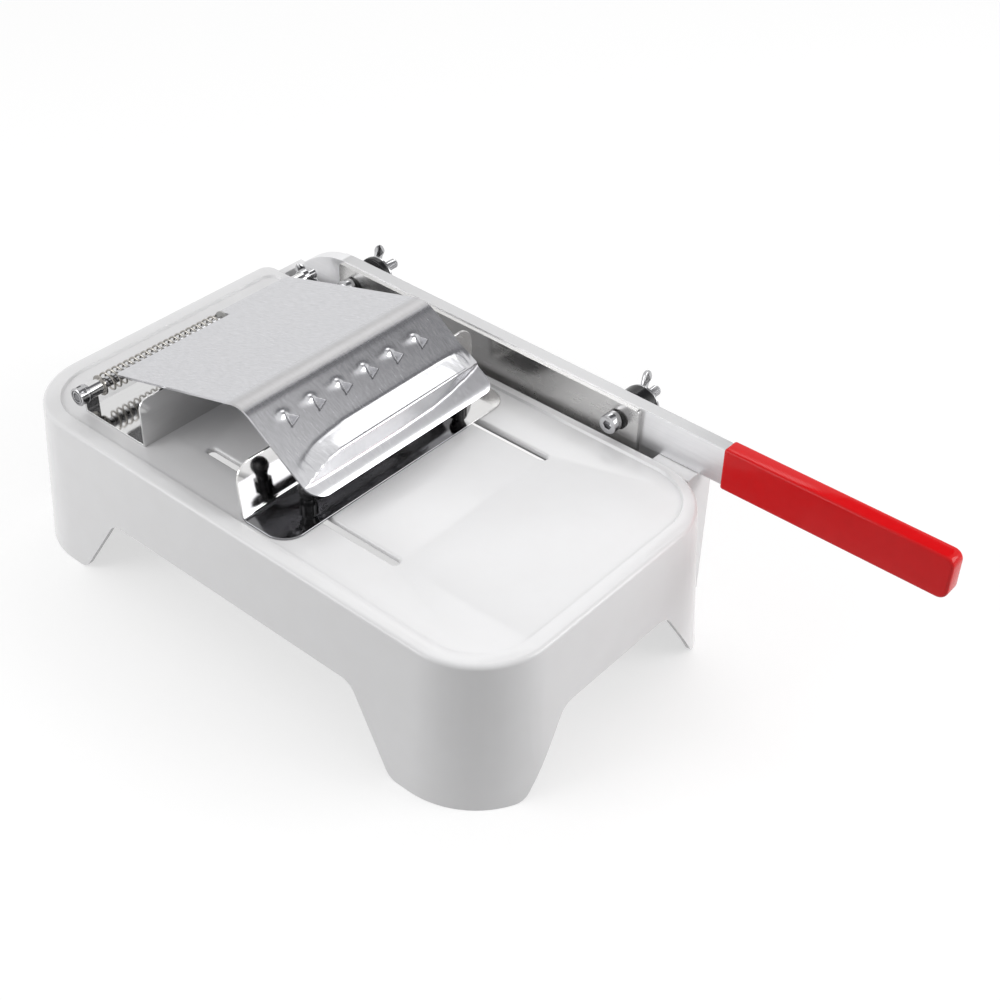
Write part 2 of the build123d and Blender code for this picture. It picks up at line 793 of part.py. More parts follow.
export_step(press_plate.part, "parts/press_plate.step")
print("press", press_plate.part.is_valid, len(press_plate.part.solids()))

# Fence: a foot on the deck and an upstand in front of the food
with BuildPart() as fence_plate:
    with BuildSketch(Plane.XY.offset(deck_z)):
        with BuildLine():
            FilletPolyline(
                (left + fence_left, front + fence_face_y + sheet),
                (left + fence_left, front + fence_front),
                (left + fence_right, front + fence_front),
                (left + fence_right, front + fence_face_y + sheet),
                radius=fence_foot_corner,
            )
            Line(
                (left + fence_right, front + fence_face_y + sheet),
                (left + fence_left, front + fence_face_y + sheet),
            )
        make_face()
    extrude(amount=sheet)
    with BuildSketch(Plane.XZ.offset(-front - fence_face_y)):
        with BuildLine():
            FilletPolyline(
                (left + fence_left, deck_z),
                (left + fence_left, deck_z + fence_height),
                (left + fence_top_right, deck_z + fence_height),
                (left + fence_top_right, base_height + fence_rim_gap),
                (left + fence_right, base_height + fence_rim_gap),
                (left + fence_right, deck_z),
                radius=[fence_top_corner, fence_top_corner, fence_step_round, fence_step_round],
            )
            Line((left + fence_right, deck_z), (left + fence_left, deck_z))
        make_face()
    extrude(amount=-sheet)
    with BuildSketch(Plane.XY.offset(deck_z)):
        for inset in slot_places:
            with Locations((left + inset, front + knob_y)):
                Circle(stud_radius + bolt_play)
    extrude(amount=sheet, mode=Mode.SUBTRACT)
fence_plate.part.label = "fence_plate"
export_step(fence_plate.part, "parts/fence_plate.step")


def fence_knob(inset):
    """A fluted knob with a ball on top, moulded round a stud that passes through the fence and the deck."""
    centre = (left + inset, front + knob_y)
    with BuildPart() as knob:
        with BuildSketch(Plane.XY.offset(sheet_top_z)):
            with Locations(centre):
                Circle(knob_skirt_radius)
                with PolarLocations(knob_skirt_radius, knob_flutes):
                    Circle(knob_flute_radius, mode=Mode.SUBTRACT)
        extrude(amount=knob_skirt_height)
        with BuildSketch(Plane.XY.offset(sheet_top_z + knob_skirt_height)):
            with Locations(centre):
                Circle(knob_neck_radius)
        extrude(amount=knob_neck_height - knob_skirt_height)
        with BuildSketch(Plane.XY.offset(sheet_top_z + knob_neck_height)):
            with Locations(centre):
                Circle(knob_neck_radius)
        with BuildSketch(Plane.XY.offset(sheet_top_z + knob_height - knob_ball_radius)):
            with Locations(centre):
                Circle(knob_ball_radius)
        loft()
        with Locations((*centre, sheet_top_z + knob_height - knob_ball_radius)):
            Sphere(knob_ball_radius)
        with BuildSketch(Plane.XY.offset(sheet_top_z)):
            with Locations(centre):
                Circle(stud_radius)
        extrude(amount=-sheet - deck_thickness - t_nut_gap - t_nut_thickness - stud_tail)
    return knob.part


def t_nut(inset):
    """A square nut under the deck, on a knob's stud."""
    with BuildPart() as nut:
        with BuildSketch(Plane.XY.offset(deck_under_z - t_nut_gap)):
            with Locations((left + inset, front + knob_y)):
                Rectangle(t_nut_side, t_nut_side)
                Circle(stud_radius + bolt_play, mode=Mode.SUBTRACT)
        extrude(amount=-t_nut_thickness)
    return nut.part


for side, inset in zip(("left", "right"), slot_places):
    knob = fence_knob(inset)
    knob.label = f"fence_knob_{side}"
    export_step(knob, f"parts/fence_knob_{side}.step")
    nut = t_nut(inset)
    nut.label = f"fence_nut_{side}"
    export_step(nut, f"parts/fence_nut_{side}.step")

# Lever: blade, bar and grip share the bar's sloping top
bar_bottom_z = deck_z + bar_gap
grip_bottom_z = bar_bottom_z - grip_wall_below
grip_top_z = bar_top_front + grip_wall_above
bolt_places = ((front + front_bolt_y, front_bolt_z), (front + pivot_y, pivot_z))


def bar_top_z(y):
    """Height of the bar's top at this distance behind the base's front."""
    return bar_top_front + bar_rise_share * (y - grip_start)


def bar_profile():
    """The bar from its side, with its nose rounded down to the rear."""
    nose = (front + bar_nose_start, bar_top_z(bar_nose_start))
    with BuildSketch() as profile:
        with BuildLine():
            Polyline(
                (front + bar_rear, bar_bottom_z),
                (front + bar_front, bar_bottom_z),
                (front + bar_front, bar_top_z(bar_front)),
                nose,
            )
            TangentArc(nose, (front + bar_rear, bar_bottom_z), tangent=(1, bar_rise_share))
        make_face()
    return profile.sketch


with BuildPart() as lever_bar:
    with BuildSketch(Plane.YZ.offset(left + bar_in)):
        add(bar_profile())
        with Locations(*bolt_places):
            Circle(bolt_radius + bolt_play, mode=Mode.SUBTRACT)
    extrude(amount=bar_thickness)
lever_bar.part.label = "lever_bar"
export_step(lever_bar.part, "parts/lever_bar.step")

with BuildPart() as blade:
    blade_bottom_z = bar_top_z(blade_front) - blade_top_drop - blade_height
    with BuildSketch(Plane.YZ.offset(left + blade_out)):
        with BuildLine():
            FilletPolyline(
                (front + blade_front, blade_bottom_z),
                (front + blade_rear, blade_bottom_z),
                (front + blade_rear, bar_top_z(blade_rear) - blade_top_drop),
                (front + blade_front, bar_top_z(blade_front) - blade_top_drop),
                radius=blade_corner,
                close=True,
            )
        make_face()
        with Locations(*bolt_places):
            Circle(bolt_radius + bolt_play, mode=Mode.SUBTRACT)
    extrude(amount=blade_thickness)
    # Ground on the outer side, flat towards the food
    with BuildSketch(Plane.XZ.offset(-front - blade_front + cut_overrun)):
        with BuildLine():
            Polyline(
                (left + blade_out + blade_edge, blade_bottom_z),
                (left + bar_in, blade_bottom_z + blade_bevel),
                (left + bar_in + cut_overrun, blade_bottom_z + blade_bevel),
                (left + bar_in + cut_overrun, blade_bottom_z - cut_overrun),
                (left + blade_out + blade_edge, blade_bottom_z - cut_overrun),
                close=True,
            )
        make_face()
    extrude(amount=-(blade_rear - blade_front) - 2 * cut_overrun, mode=Mode.SUBTRACT)
blade.part.label = "blade"
export_step(blade.part, "parts/blade.step")

with BuildPart() as grip:
    with BuildSketch(Plane.YZ.offset(left + bar_in - grip_wall)):
        with BuildLine():
            FilletPolyline(
                (front + grip_start, grip_bottom_z),
                (front + grip_end, grip_bottom_z),
                (front + grip_end, grip_top_z),
                (front + grip_start, grip_top_z),
                radius=grip_end_round,
            )
            Line((front + grip_start, grip_top_z), (front + grip_start, grip_bottom_z))
        make_face()
    extrude(amount=bar_thickness + 2 * grip_wall)
    long_edges = grip.edges().filter_by(Axis.X, reverse=True)
    end_edges = long_edges.filter_by(Axis.Z).sort_by(Axis.Y)[:2]
    fillet(long_edges.filter_by(Axis.Z, reverse=True) + end_edges, grip_round)
    with BuildSketch(Plane.YZ.offset(left + bar_in)):
        add(bar_profile())
    extrude(amount=bar_thickness, mode=Mode.SUBTRACT)
grip.part.label = "grip"
export_step(grip.part, "parts/grip.step")


def lever_bolt(place):
    """A socket head bolt that clamps the blade to the bar, with its head on the blade's side."""
    head_top = left + blade_out - ring_thickness - bolt_head_length
    with BuildPart() as bolt:
        with BuildSketch(Plane.YZ.offset(head_top)):
            with Locations(place):
                Circle(bolt_head_radius)
        extrude(amount=bolt_head_length)
        fillet(bolt.edges().group_by(Axis.X)[0], bolt_socket_round)
        with BuildSketch(Plane.YZ.offset(head_top)):
            with Locations(place):
                RegularPolygon(bolt_socket_across / 2, side_count=6, major_radius=False)
        extrude(amount=bolt_socket_depth, mode=Mode.SUBTRACT)
        with BuildSketch(Plane.YZ.offset(head_top + bolt_head_length)):
            with Locations(place):
                Circle(bolt_radius)
        extrude(amount=left + bolt_end - head_top - bolt_head_length)
        chamfer(bolt.edges().group_by(Axis.X)[-1], bolt_end_round)
    return bolt.part


def lever_ring(place, radius, start, length, edge_round=0.0):
    """A ring on one of the lever's bolts: a seal, spacer or washer."""
    with BuildPart() as ring:
        with BuildSketch(Plane.YZ.offset(left + start)):
            with Locations(place):
                Circle(radius)
        extrude(amount=length)
        if edge_round:
            fillet(ring.edges(), edge_round)
        with BuildSketch(Plane.YZ.offset(left + start)):
            with Locations(place):
                Circle(bolt_radius + bolt_play)
        extrude(amount=length, mode=Mode.SUBTRACT)
    return ring.part


spacer_starts = (bar_out, channel_out + side_play)
nut_turns = (front_nut_turn, pivot_nut_turn)
for name, place, spacer_start, turn in zip(("front", "pivot"), bolt_places, spacer_starts, nut_turns):
    spacer_run = spacer_out - spacer_start
    pieces = {
        f"{name}_bolt": lever_bolt(place),
        f"{name}_ring": lever_ring(place, ring_radius, blade_out - ring_thickness, ring_thickness),
        f"{name}_spacer": lever_ring(place, spacer_radius, spacer_start, spacer_run, spacer_round),
        f"{name}_washer": lever_ring(place, washer_radius, spacer_out, washer_thickness),
        f"{name}_wing_nut": wing_nut(
            (left + nut_seat, *place),
            turn,
            nut_hub_radius,
            nut_hub_top_radius,
            nut_hub_length,
            nut_span,
            nut_wing_rise,
        ),
    }
    for label, piece in pieces.items():
        piece.label = label
        export_step(piece, f"parts/{label}.step")
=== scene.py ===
# %% [markdown]
# # A hand slicer for frozen meat
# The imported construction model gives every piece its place. This lesson dresses it: each surface gets a
# finish, the pieces whose looks need more than construction solids are modelled again, and a camera stands
# where the photographer stood.

# %% Load the frame
import json
import math

import bmesh
import bpy
from mathutils import Matrix, Vector


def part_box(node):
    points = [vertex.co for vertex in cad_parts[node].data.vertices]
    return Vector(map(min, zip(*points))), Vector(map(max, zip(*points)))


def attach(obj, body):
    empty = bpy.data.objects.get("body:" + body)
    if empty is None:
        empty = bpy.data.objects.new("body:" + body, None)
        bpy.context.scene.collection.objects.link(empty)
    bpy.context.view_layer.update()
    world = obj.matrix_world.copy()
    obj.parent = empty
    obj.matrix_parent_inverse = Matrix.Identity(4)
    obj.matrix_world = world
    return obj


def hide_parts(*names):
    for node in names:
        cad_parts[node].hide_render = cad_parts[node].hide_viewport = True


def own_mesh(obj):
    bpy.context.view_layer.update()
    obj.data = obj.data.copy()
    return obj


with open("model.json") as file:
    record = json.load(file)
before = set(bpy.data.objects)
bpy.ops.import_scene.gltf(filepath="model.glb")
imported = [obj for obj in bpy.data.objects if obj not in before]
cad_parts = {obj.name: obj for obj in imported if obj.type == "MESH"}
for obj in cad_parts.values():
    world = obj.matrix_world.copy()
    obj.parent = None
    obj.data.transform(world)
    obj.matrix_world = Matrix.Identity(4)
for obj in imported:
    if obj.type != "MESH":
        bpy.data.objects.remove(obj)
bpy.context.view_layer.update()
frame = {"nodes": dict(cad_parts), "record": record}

MM = 0.001
nodes = frame["nodes"]
print("nodes", len(nodes))

# %% [markdown]
# ## Where things are
# Everything is measured from the base's outer face at its top edge: the left face for x and the front face
# for y. The base's walls lean outwards by a few degrees, so the box of the base gives the left face once the
# lean is taken off. At the front the box ends above the legs' rounded tips, where the lean is smaller, and so
# FRONT lies 1.7 mm behind the face.

# %% Measuring points
FLARE = 6.9 * MM
base_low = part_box("base_housing")[0]
LEFT = base_low.x + FLARE
FRONT = base_low.y + FLARE


def spot(x, y, z):
    """A point given in millimetres from the base's left face, its front face and the ground."""
    return Vector((LEFT + x * MM, FRONT + y * MM, z * MM))


print("left", round(LEFT, 5), "front", round(FRONT, 5))

# %% [markdown]
# ## Shader expressions
# A material's numbers are easier to read as sums than as wires. A small class wraps a socket, so that an
# expression such as `0.13 + 0.07 * mottle` adds the Math nodes that it needs.


# %% Expressions and materials
class Value:
    """A socket that can be added, multiplied and so on, each step adding a Math node."""

    def __init__(self, finish, socket):
        self.finish = finish
        self.socket = socket

    def maths(self, operation, first, second):
        return self.finish.node("ShaderNodeMath", {"operation": operation}, {0: first, 1: second})[0]

    def __add__(self, other):
        return self.maths("ADD", self, other)

    def __radd__(self, other):
        return self.maths("ADD", other, self)

    def __sub__(self, other):
        return self.maths("SUBTRACT", self, other)

    def __mul__(self, other):
        return self.maths("MULTIPLY", self, other)

    def __rmul__(self, other):
        return self.maths("MULTIPLY", other, self)

    def __truediv__(self, other):
        return self.maths("DIVIDE", self, other)


class Finish:
    """A material with a Principled shader, and one method that adds any other node."""

    def __init__(self, name, **sockets):
        self.material = bpy.data.materials.new(name)
        self.material.use_nodes = True
        self.tree = self.material.node_tree
        self.shader = self.tree.nodes["Principled BSDF"]
        self.set(**sockets)

    def set(self, **sockets):
        """Sets the shader's sockets by name, with underscores for spaces: a value or a wrapped socket."""
        for name, value in sockets.items():
            self.feed(self.shader.inputs[name.replace("_", " ").title().replace("Ior", "IOR")], value)

    def feed(self, target, value):
        if isinstance(value, Value):
            self.tree.links.new(value.socket, target)
        elif isinstance(value, tuple) and target.type == "RGBA" and len(value) == 3:
            target.default_value = (*value, 1)
        else:
            target.default_value = value

    def node(self, kind, settings, inputs):
        """Adds a node, makes its settings, feeds its sockets and returns its outputs."""
        made = self.tree.nodes.new(kind)
        for name, value in settings.items():
            setattr(made, name, value)
        for name, value in inputs.items():
            self.feed(made.inputs[name], value)
        return [Value(self, out) for out in made.outputs]

    def fed(self, name):
        """What feeds one of the shader's sockets."""
        return Value(self, self.shader.inputs[name].links[0].from_socket)

    def here(self):
        """Object coordinates."""
        return self.node("ShaderNodeTexCoord", {}, {})[3]

    def axes(self):
        """Object coordinates along x, y and z."""
        return self.node("ShaderNodeSeparateXYZ", {}, {"Vector": self.here()})[:3]

    def noise(self, scale, detail=3.0, stretch=(1, 1, 1), rough=0.5):
        """Noise from 0 to 1 on object coordinates, drawn out along the axes whose entries are small."""
        where = self.node("ShaderNodeMapping", {}, {"Vector": self.here(), "Scale": stretch})[0]
        sockets = {"Vector": where, "Scale": scale, "Detail": detail, "Roughness": rough}
        return self.node("ShaderNodeTexNoise", {}, sockets)[0]

    def band(self, value, low, high):
        """Maps a value so that low gives 0 and high gives 1, with nothing outside that."""
        sockets = {"Value": value, "From Min": low, "From Max": high}
        return self.node("ShaderNodeMapRange", {"clamp": True}, sockets)[0]

    def blend(self, share, first, second):
        """Mixes two colours."""
        settings = {"data_type": "RGBA"}
        return self.node("ShaderNodeMix", settings, {0: share, 6: first, 7: second})[2]

    def bump(self, height, strength, distance):
        """A normal bent by a height map."""
        sockets = {"Height": height, "Strength": strength, "Distance": distance}
        return self.node("ShaderNodeBump", {}, sockets)[0]


# %% [markdown]
# ## Finishes
# The base is glossy moulded plastic: nearly white, with a faint mottle in its gloss. The sheet parts are
# stainless steel, some brushed, some polished like a mirror. Fastenings are plated. Brushed steel gets fine
# noise stretched along the way it was brushed, in its colour, its roughness and a shallow bump.

# %% Moulded base
base_white = Finish("moulded_white", base_color=(0.80, 0.80, 0.81), roughness=0.2, ior=1.5)
mottle = base_white.noise(60.0, detail=4.0)
scuffs = base_white.noise(420.0, detail=6.0, stretch=(1, 0.25, 1))
base_white.set(
    base_color=base_white.blend(mottle, (0.80, 0.795, 0.80), (0.84, 0.84, 0.85)),
    roughness=0.13 + 0.07 * mottle + 0.05 * scuffs,
    normal=base_white.bump(scuffs, strength=0.04, distance=0.0001),
)
print("finish", base_white.material.name)


# %% Steel finishes
def brushed(name, colour, roughness, way, depth=0.01, contrast=0.03, scale=900.0, grain=0.10):
    """Steel with fine brushing that runs along the axis given by way, whose entry is small."""
    steel = Finish(name, base_color=colour, metallic=1.0, roughness=roughness)
    lines = steel.noise(scale, detail=5.0, stretch=way, rough=0.7)
    clouds = steel.noise(35.0)
    dark = tuple(c * (1 - contrast) for c in colour)
    light = tuple(min(c * (1 + contrast), 1.0) for c in colour)
    steel.set(
        base_color=steel.blend(steel.band(lines, 0.3, 0.7), dark, light),
        roughness=roughness + grain * lines + 0.06 * clouds - grain * 0.5 - 0.03,
        normal=steel.bump(lines, strength=depth, distance=0.00006),
    )
    return steel


# The plate's bend gets a painted dark reflection, and a rougher finish, between these places; each pair runs
# from not at all to fully
BEND_SHADE_FRONT = (188.8, 191.5)
BEND_SHADE_REAR = (203.5, 197.5)
plate_steel = brushed(
    "brushed_plate", (0.62, 0.62, 0.64), 0.25, (1, 0.16, 0.16), depth=0.22, contrast=0.10, scale=1300.0
)
bend_y = plate_steel.axes()[1]
bend_shade = plate_steel.band(bend_y, *(FRONT + y * MM for y in BEND_SHADE_FRONT))
bend_shade = bend_shade * plate_steel.band(bend_y, *(FRONT + y * MM for y in BEND_SHADE_REAR))
# The teeth's outer rims carry painted shade, given by a point attribute, darkest down the slope
rim_shade = plate_steel.node("ShaderNodeAttribute", {"attribute_name": "tooth_rim_shade"}, {})[2]
# Painted dark reflection along the bend, at half strength at most
bend_shaded_colour = plate_steel.blend(bend_shade * 0.5, plate_steel.fed("Base Color"), (0.40, 0.39, 0.38))
plate_steel.set(
    base_color=plate_steel.blend(rim_shade, bend_shaded_colour, (0.09, 0.09, 0.095)),
    roughness=plate_steel.fed("Roughness") + 0.2 * bend_shade,
)

# The bar's top face is painted darker than its side: painted shade
BAR_SLOPE = 0.0087
BAR_TOP = 112.5
bar_steel = brushed("satin_bar", (0.84, 0.84, 0.85), 0.36, (1, 0.02, 1), depth=0.03, grain=0.04)
_, bar_y, bar_z = bar_steel.axes()
painted_top_shade = bar_steel.band(bar_z - bar_y * BAR_SLOPE, (BAR_TOP - 0.1) * MM, (BAR_TOP + 0.1) * MM)
bar_steel.set(base_color=bar_steel.blend(painted_top_shade, bar_steel.fed("Base Color"), (0.55, 0.55, 0.555)))

# The fence's foot gets painted shade and a painted dark reflection of the plate above, to the left of a
# place; each pair runs from not at all to fully
FENCE_SHADE_HEIGHTS = (92.0, 90.4)
FENCE_SHADE_PLACES = (152, 146)
fence_steel = brushed("polished_fence", (0.74, 0.735, 0.73), 0.07, (0.05, 1, 1), grain=0.03)
fence_x, _, fence_z = fence_steel.axes()
painted_foot_shade = fence_steel.band(fence_z, *(z * MM for z in FENCE_SHADE_HEIGHTS))
painted_foot_shade = painted_foot_shade * fence_steel.band(fence_x, *(LEFT + x * MM for x in FENCE_SHADE_PLACES))
fence_steel.set(base_color=fence_steel.blend(painted_foot_shade, fence_steel.fed("Base Color"), (0.25, 0.25, 0.26)))

blade_steel = brushed("ground_blade", (0.57, 0.565, 0.56), 0.27, (1, 0.05, 1), contrast=0.02, grain=0.02)
mirror_steel = brushed("polished_sheet", (0.70, 0.70, 0.70), 0.09, (0.05, 1, 1))
plated = brushed("bright_plating", (0.47, 0.47, 0.48), 0.13, (1, 1, 1))
spring_steel = brushed("spring_wire", (0.40, 0.385, 0.36), 0.16, (1, 1, 1))
print("steel finishes", 7)

# %% Plastics and rubber
grip_red = Finish("dipped_red", base_color=(0.72, 0.004, 0.006), roughness=0.14, specular_ior_level=0.2)
dimples = grip_red.noise(160.0, detail=2.0)
grip_red.set(
    base_color=grip_red.blend(dimples, (0.69, 0.003, 0.005), (0.76, 0.004, 0.007)),
    roughness=0.08 + 0.05 * dimples,
    normal=grip_red.bump(dimples, strength=0.04, distance=0.0002),
)
black = Finish("moulded_black", base_color=(0.010, 0.010, 0.011), roughness=0.22, specular_ior_level=0.35)
grain = black.noise(700.0, detail=4.0)
black.set(roughness=0.16 + 0.12 * grain, normal=black.bump(grain, strength=0.08, distance=0.0001))
seal_black = Finish("seal_rubber", base_color=(0.013, 0.013, 0.013), roughness=0.5)
seal_black.set(roughness=0.4 + 0.2 * seal_black.noise(500.0))
liner = Finish("bearing_plastic", base_color=(0.42, 0.42, 0.41), roughness=0.4)
liner.set(roughness=0.36 + 0.1 * liner.noise(300.0))
print("plastic finishes", 4)

# %% Dress the construction model
finishes = {
    "base": base_white,
    "plate": plate_steel,
    "mirror_sheet": mirror_steel,
    "blade": blade_steel,
    "bar": bar_steel,
    "grip": grip_red,
    "hardware": plated,
    "black": black,
    "seal": seal_black,
    "liner": liner,
}
for part in frame["record"]["subparts"]:
    piece = nodes[part["node"]]
    piece.data.materials.clear()
    piece.data.materials.append(finishes[part["material_slot"]].material)
nodes["spring_washer"].data.materials[0] = spring_steel.material

# %% [markdown]
# ## Making a piece
# A new piece starts as a bmesh near its place. When its shape is done it becomes an object at the origin,
# takes a finish, rides on a body and stands for the construction node that it replaces. Faces that meet at a
# small angle are shaded smooth and the rest stay crisp.


# %% Finishing a piece
def finish_piece(name, shape, dress, body, slot, *stands_for, crisp=32.0):
    """Turns a bmesh into a piece that rides on a body and replaces construction nodes."""
    mesh = bpy.data.meshes.new(name)
    shape.to_mesh(mesh)
    shape.free()
    for face in mesh.polygons:
        face.use_smooth = True
    mesh.set_sharp_from_angle(angle=math.radians(crisp))
    piece = bpy.data.objects.new(name, mesh)
    bpy.context.scene.collection.objects.link(piece)
    piece.data.materials.append(dress.material)
    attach(piece, body)
    if stands_for:
        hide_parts(*stands_for)
    print(name, len(mesh.polygons), "faces")
    return piece


def take_in(shape, other):
    """Adds a copy of another bmesh to a shape and frees the other."""
    mesh = bpy.data.meshes.new("taken in")
    other.to_mesh(mesh)
    other.free()
    shape.from_mesh(mesh)
    bpy.data.meshes.remove(mesh)


def rounded(shape, what, geom, size, steps):
    """Rounds off edges or corners of a shape."""
    bmesh.ops.bevel(shape, geom=geom, affect=what, offset=size * MM, segments=steps, profile=0.5, material=-1)


body_of = {node: body for body, members in frame["record"]["behaviour"]["bodies"].items() for node in members}
slot_of = {part["node"]: part["material_slot"] for part in frame["record"]["subparts"]}

# %% [markdown]
# ## Softened edges
# A real edge is never quite sharp: a thin line of light runs along it. The construction solids are copied,
# their loose triangles merged into flat faces, and every sharp edge gets a narrow bevel.


# %% Bevelled copies
WELD = 0.002 * MM
DECK = 88.8
SLOT_PLACES = (41.1, 155.6)
LIP_REACH, LIP_DEPTH, LIP_ROUND = 2.7, 0.1, 1.7
LIP_FRONT, LIP_REAR = 91.0, 230.6


def worn(piece, name, width, angle, segments=2):
    """Gives a narrow bevel to the edges of a piece that are sharper than an angle."""
    bevel = piece.modifiers.new(name, "BEVEL")
    bevel.width = width * MM
    bevel.segments = segments
    bevel.limit_method = "ANGLE"
    bevel.angle_limit = math.radians(angle)
    return bevel


def softened(node, width, segments=2, lips=()):
    """A copy of a node with bevelled edges; lips are boxes by two corners, whose edges get a wide round."""
    shape = bmesh.new()
    shape.from_mesh(nodes[node].data)
    bmesh.ops.remove_doubles(shape, verts=shape.verts, dist=WELD)
    bmesh.ops.dissolve_limit(shape, angle_limit=math.radians(0.6), verts=shape.verts, edges=shape.edges)
    for low, high in lips:
        inside = {v for v in shape.verts if all(low[i] < v.co[i] < high[i] for i in range(3))}
        rims = [e for e in shape.edges if inside.issuperset(e.verts) and e.calc_face_angle(0) > 0.8]
        rounded(shape, "EDGES", rims, LIP_ROUND, 5)
        print(node, "rounded lip edges", len(rims))
    piece = finish_piece(f"{node}_soft", shape, finishes[slot_of[node]], body_of[node], slot_of[node], node)
    worn(piece, "soft edges", width, 35.0, segments).harden_normals = True


slot_lips = [
    (spot(x - LIP_REACH, LIP_FRONT, DECK - LIP_DEPTH), spot(x + LIP_REACH, LIP_REAR, DECK + LIP_DEPTH))
    for x in SLOT_PLACES
]
softened("base_housing", 0.7, segments=3, lips=slot_lips)
for node in ("rear_wall_bracket", "lever_bar", "blade", "front_washer", "pivot_washer"):
    softened(node, 0.2 if node == "blade" else 0.25)

# %% [markdown]
# ## Ring by ring
# Round pieces, and the small three-sided teeth, are drawn ring by ring: a ring of edges is drawn out to a new
# radius and height, again and again, and the last ring is closed.


# %% Ring by ring
def first_ring(shape, segments, radius, filled=False):
    """The edges of a circle to start from."""
    verts = bmesh.ops.create_circle(shape, cap_ends=filled, segments=segments, radius=radius * MM)["verts"]
    return list({e for v in verts for e in v.link_edges})


def draw_rings(shape, edges, radius, profile):
    """Draws a ring of edges out along a profile of (radius, height) pairs, and closes its end."""
    for new_radius, height in profile:
        made = bmesh.ops.extrude_edge_only(shape, edges=edges)["geom"]
        verts = [item for item in made if isinstance(item, bmesh.types.BMVert)]
        drawn = [item for item in made if isinstance(item, bmesh.types.BMEdge)]
        edges = [e for e in drawn if all(v in verts for v in e.verts)]
        level = sum(v.co.z for v in verts) / len(verts)
        grown = new_radius * MM / (radius * MM)
        bmesh.ops.scale(shape, vec=(grown, grown, 1), verts=verts)
        bmesh.ops.translate(shape, vec=(0, 0, height * MM - level), verts=verts)
        radius = new_radius
    bmesh.ops.holes_fill(shape, edges=edges, sides=0)


# %% [markdown]
# ## Press plate
# The plate is one sheet, bent once, with teeth punched out of its slope and a long rib pressed outwards for
# the fingers: a ramp rises from a fold line to a lip and a steep wall falls back to the flat. It is made as a
# flat pattern of small faces, with the height of each press mark as z, and the finished pattern is then bent
# round the section.

# %% Sheet pattern sizes
PLATE_LEFT = 34.0
PLATE_RIGHT = 171.0
PLATE_SHEET = 1.25
PLATE_EDGE = 62.57
REAR_EDGE = -106.5
BARREL_LEFT = 117.0
BARREL_RADIUS = 4.7
BARREL_TURN = math.radians(318)

# The teeth: their row and places, and the rows between which the sheet rises and sinks beside them
TOOTH_ROW = 17.8
TOOTH_FIRST = 53.8
TOOTH_PITCH = 19.36
TOOTH_COUNT = 6
TEETH_ABOVE = 5.0
TEETH_BELOW = 25.0
# The swelling at a tooth's upper left: its place against the tooth's, and its half widths
SWELL_ACROSS, SWELL_DOWN = -3.0, -2.6
SWELL_WIDTH, SWELL_LENGTH = 2.8, 1.9
# A tooth's three-sided pit: its turn in degrees, its place against the tooth's, its reach, depth and wall
TOOTH_TURN = 38.0
TOOTH_ACROSS = -0.2
TOOTH_DOWN = 1.9
TOOTH_REACH = 4.7
PIT_DEPTH = 0.9
PIT_WALL = 0.6
# A tooth's shell: its floor's radius and depth, its (radius, height) rings, and how its height falls off
# down the slope
SHELL_FLOOR = 1.4
SHELL_DEPTH = 0.6
SHELL_RINGS = ((3.7, 1.0), (4.1, 1.0), (4.8, 0.75), (4.9, -0.7))
SHELL_OUTSIDE = 3.9
SHELL_REACH, SHELL_HIGH, SHELL_FALL = 4.0, 1.6, 1.3
# How fast the painted shade on a shell's outer rim grows down the slope
RIM_SHADE_GAIN = 2.2

# The rows of the flat pattern that become the rib's fold, lip and foot and the plate's front edge
FOLD_ROW = 34.0
LIP_ROW = 54.0
FOOT_ROW = 64.0
EDGE_ROW = 72.6
# How round the rib's fold, lip and foot are, and how far the front edge dips
RIB_CORNERS = (2.2, 1.3, 1.1)
EDGE_DIP = 0.3
DIP_FROM, DIP_GROWTH = 59.0, 0.05
# The rib's ramp bulges a little; it is crumpled at its right end and creased at its left
RIB_BULGE = 0.05
DENT = 0.22
CRUMPLE_PLACE, CRUMPLE_WIDTH = 164, 5.5
CREASE_PLACE, CREASE_WIDTH = 43.5, 0.6
tooth_places = [TOOTH_FIRST + TOOTH_PITCH * i for i in range(TOOTH_COUNT)]
print("teeth at", [round(x, 1) for x in tooth_places])


# %% How the rib is pressed
def through(stops, value):
    """Follows (place, value) stops on runs that are half straight and half eased."""
    if value <= stops[0][0]:
        return stops[0][1]
    for (low, first), (high, last) in zip(stops, stops[1:]):
        if value <= high:
            share = (value - low) / (high - low)
            eased = share * share * (3 - 2 * share)
            return first + (last - first) * (0.5 * share + 0.5 * eased)
    return stops[-1][1]


# Fold, lip and foot of the rib as distances down the slope, and the lip's height, for places across the plate
FOLD_LINE = ((34, 43.0), (44.2, 39.8), (57.6, 36.3), (67.5, 35.1), (78, 34.0))
LIP_LINE = (
    (34, 53.3), (36, 52.9), (40, 51.8), (43.6, 50.4), (47.7, 49.1),
    (53.7, 48.0), (62, 47.4), (162, 46.8), (171, 45.6),
)
FOOT_LINE = (
    (34, 53.8), (40, 53.9), (50, 54.0), (100, 54.1), (127, 53.4),
    (141, 52.0), (156, 49.7), (165, 48.0), (171, 46.6),
)
LIP_RISE = (
    (34, 0.0), (36, 0.3), (40, 1.6), (43.6, 2.9), (47.7, 4.4), (53.7, 6.2),
    (62, 7.4), (150, 7.5), (158, 6.2), (165, 3.6), (171, 1.3),
)


def eased_corner(before, corner, after, near, reach):
    """A point near a corner of a section, on the curve that rounds it; near is negative ahead of it."""
    into, out = corner - before, after - corner
    reach = min(reach, 0.45 * into.length, 0.45 * out.length)
    if abs(near) >= reach or reach < 0.01:
        return corner + (into.normalized() if near < 0 else out.normalized()) * near
    share = 0.5 + 0.5 * near / reach
    return corner + (out.normalized() * share**2 - into.normalized() * (1 - share) ** 2) * reach


def hump(value, middle, width):
    """A smooth hump of height 1."""
    return math.exp(-(((value - middle) / width) ** 2))


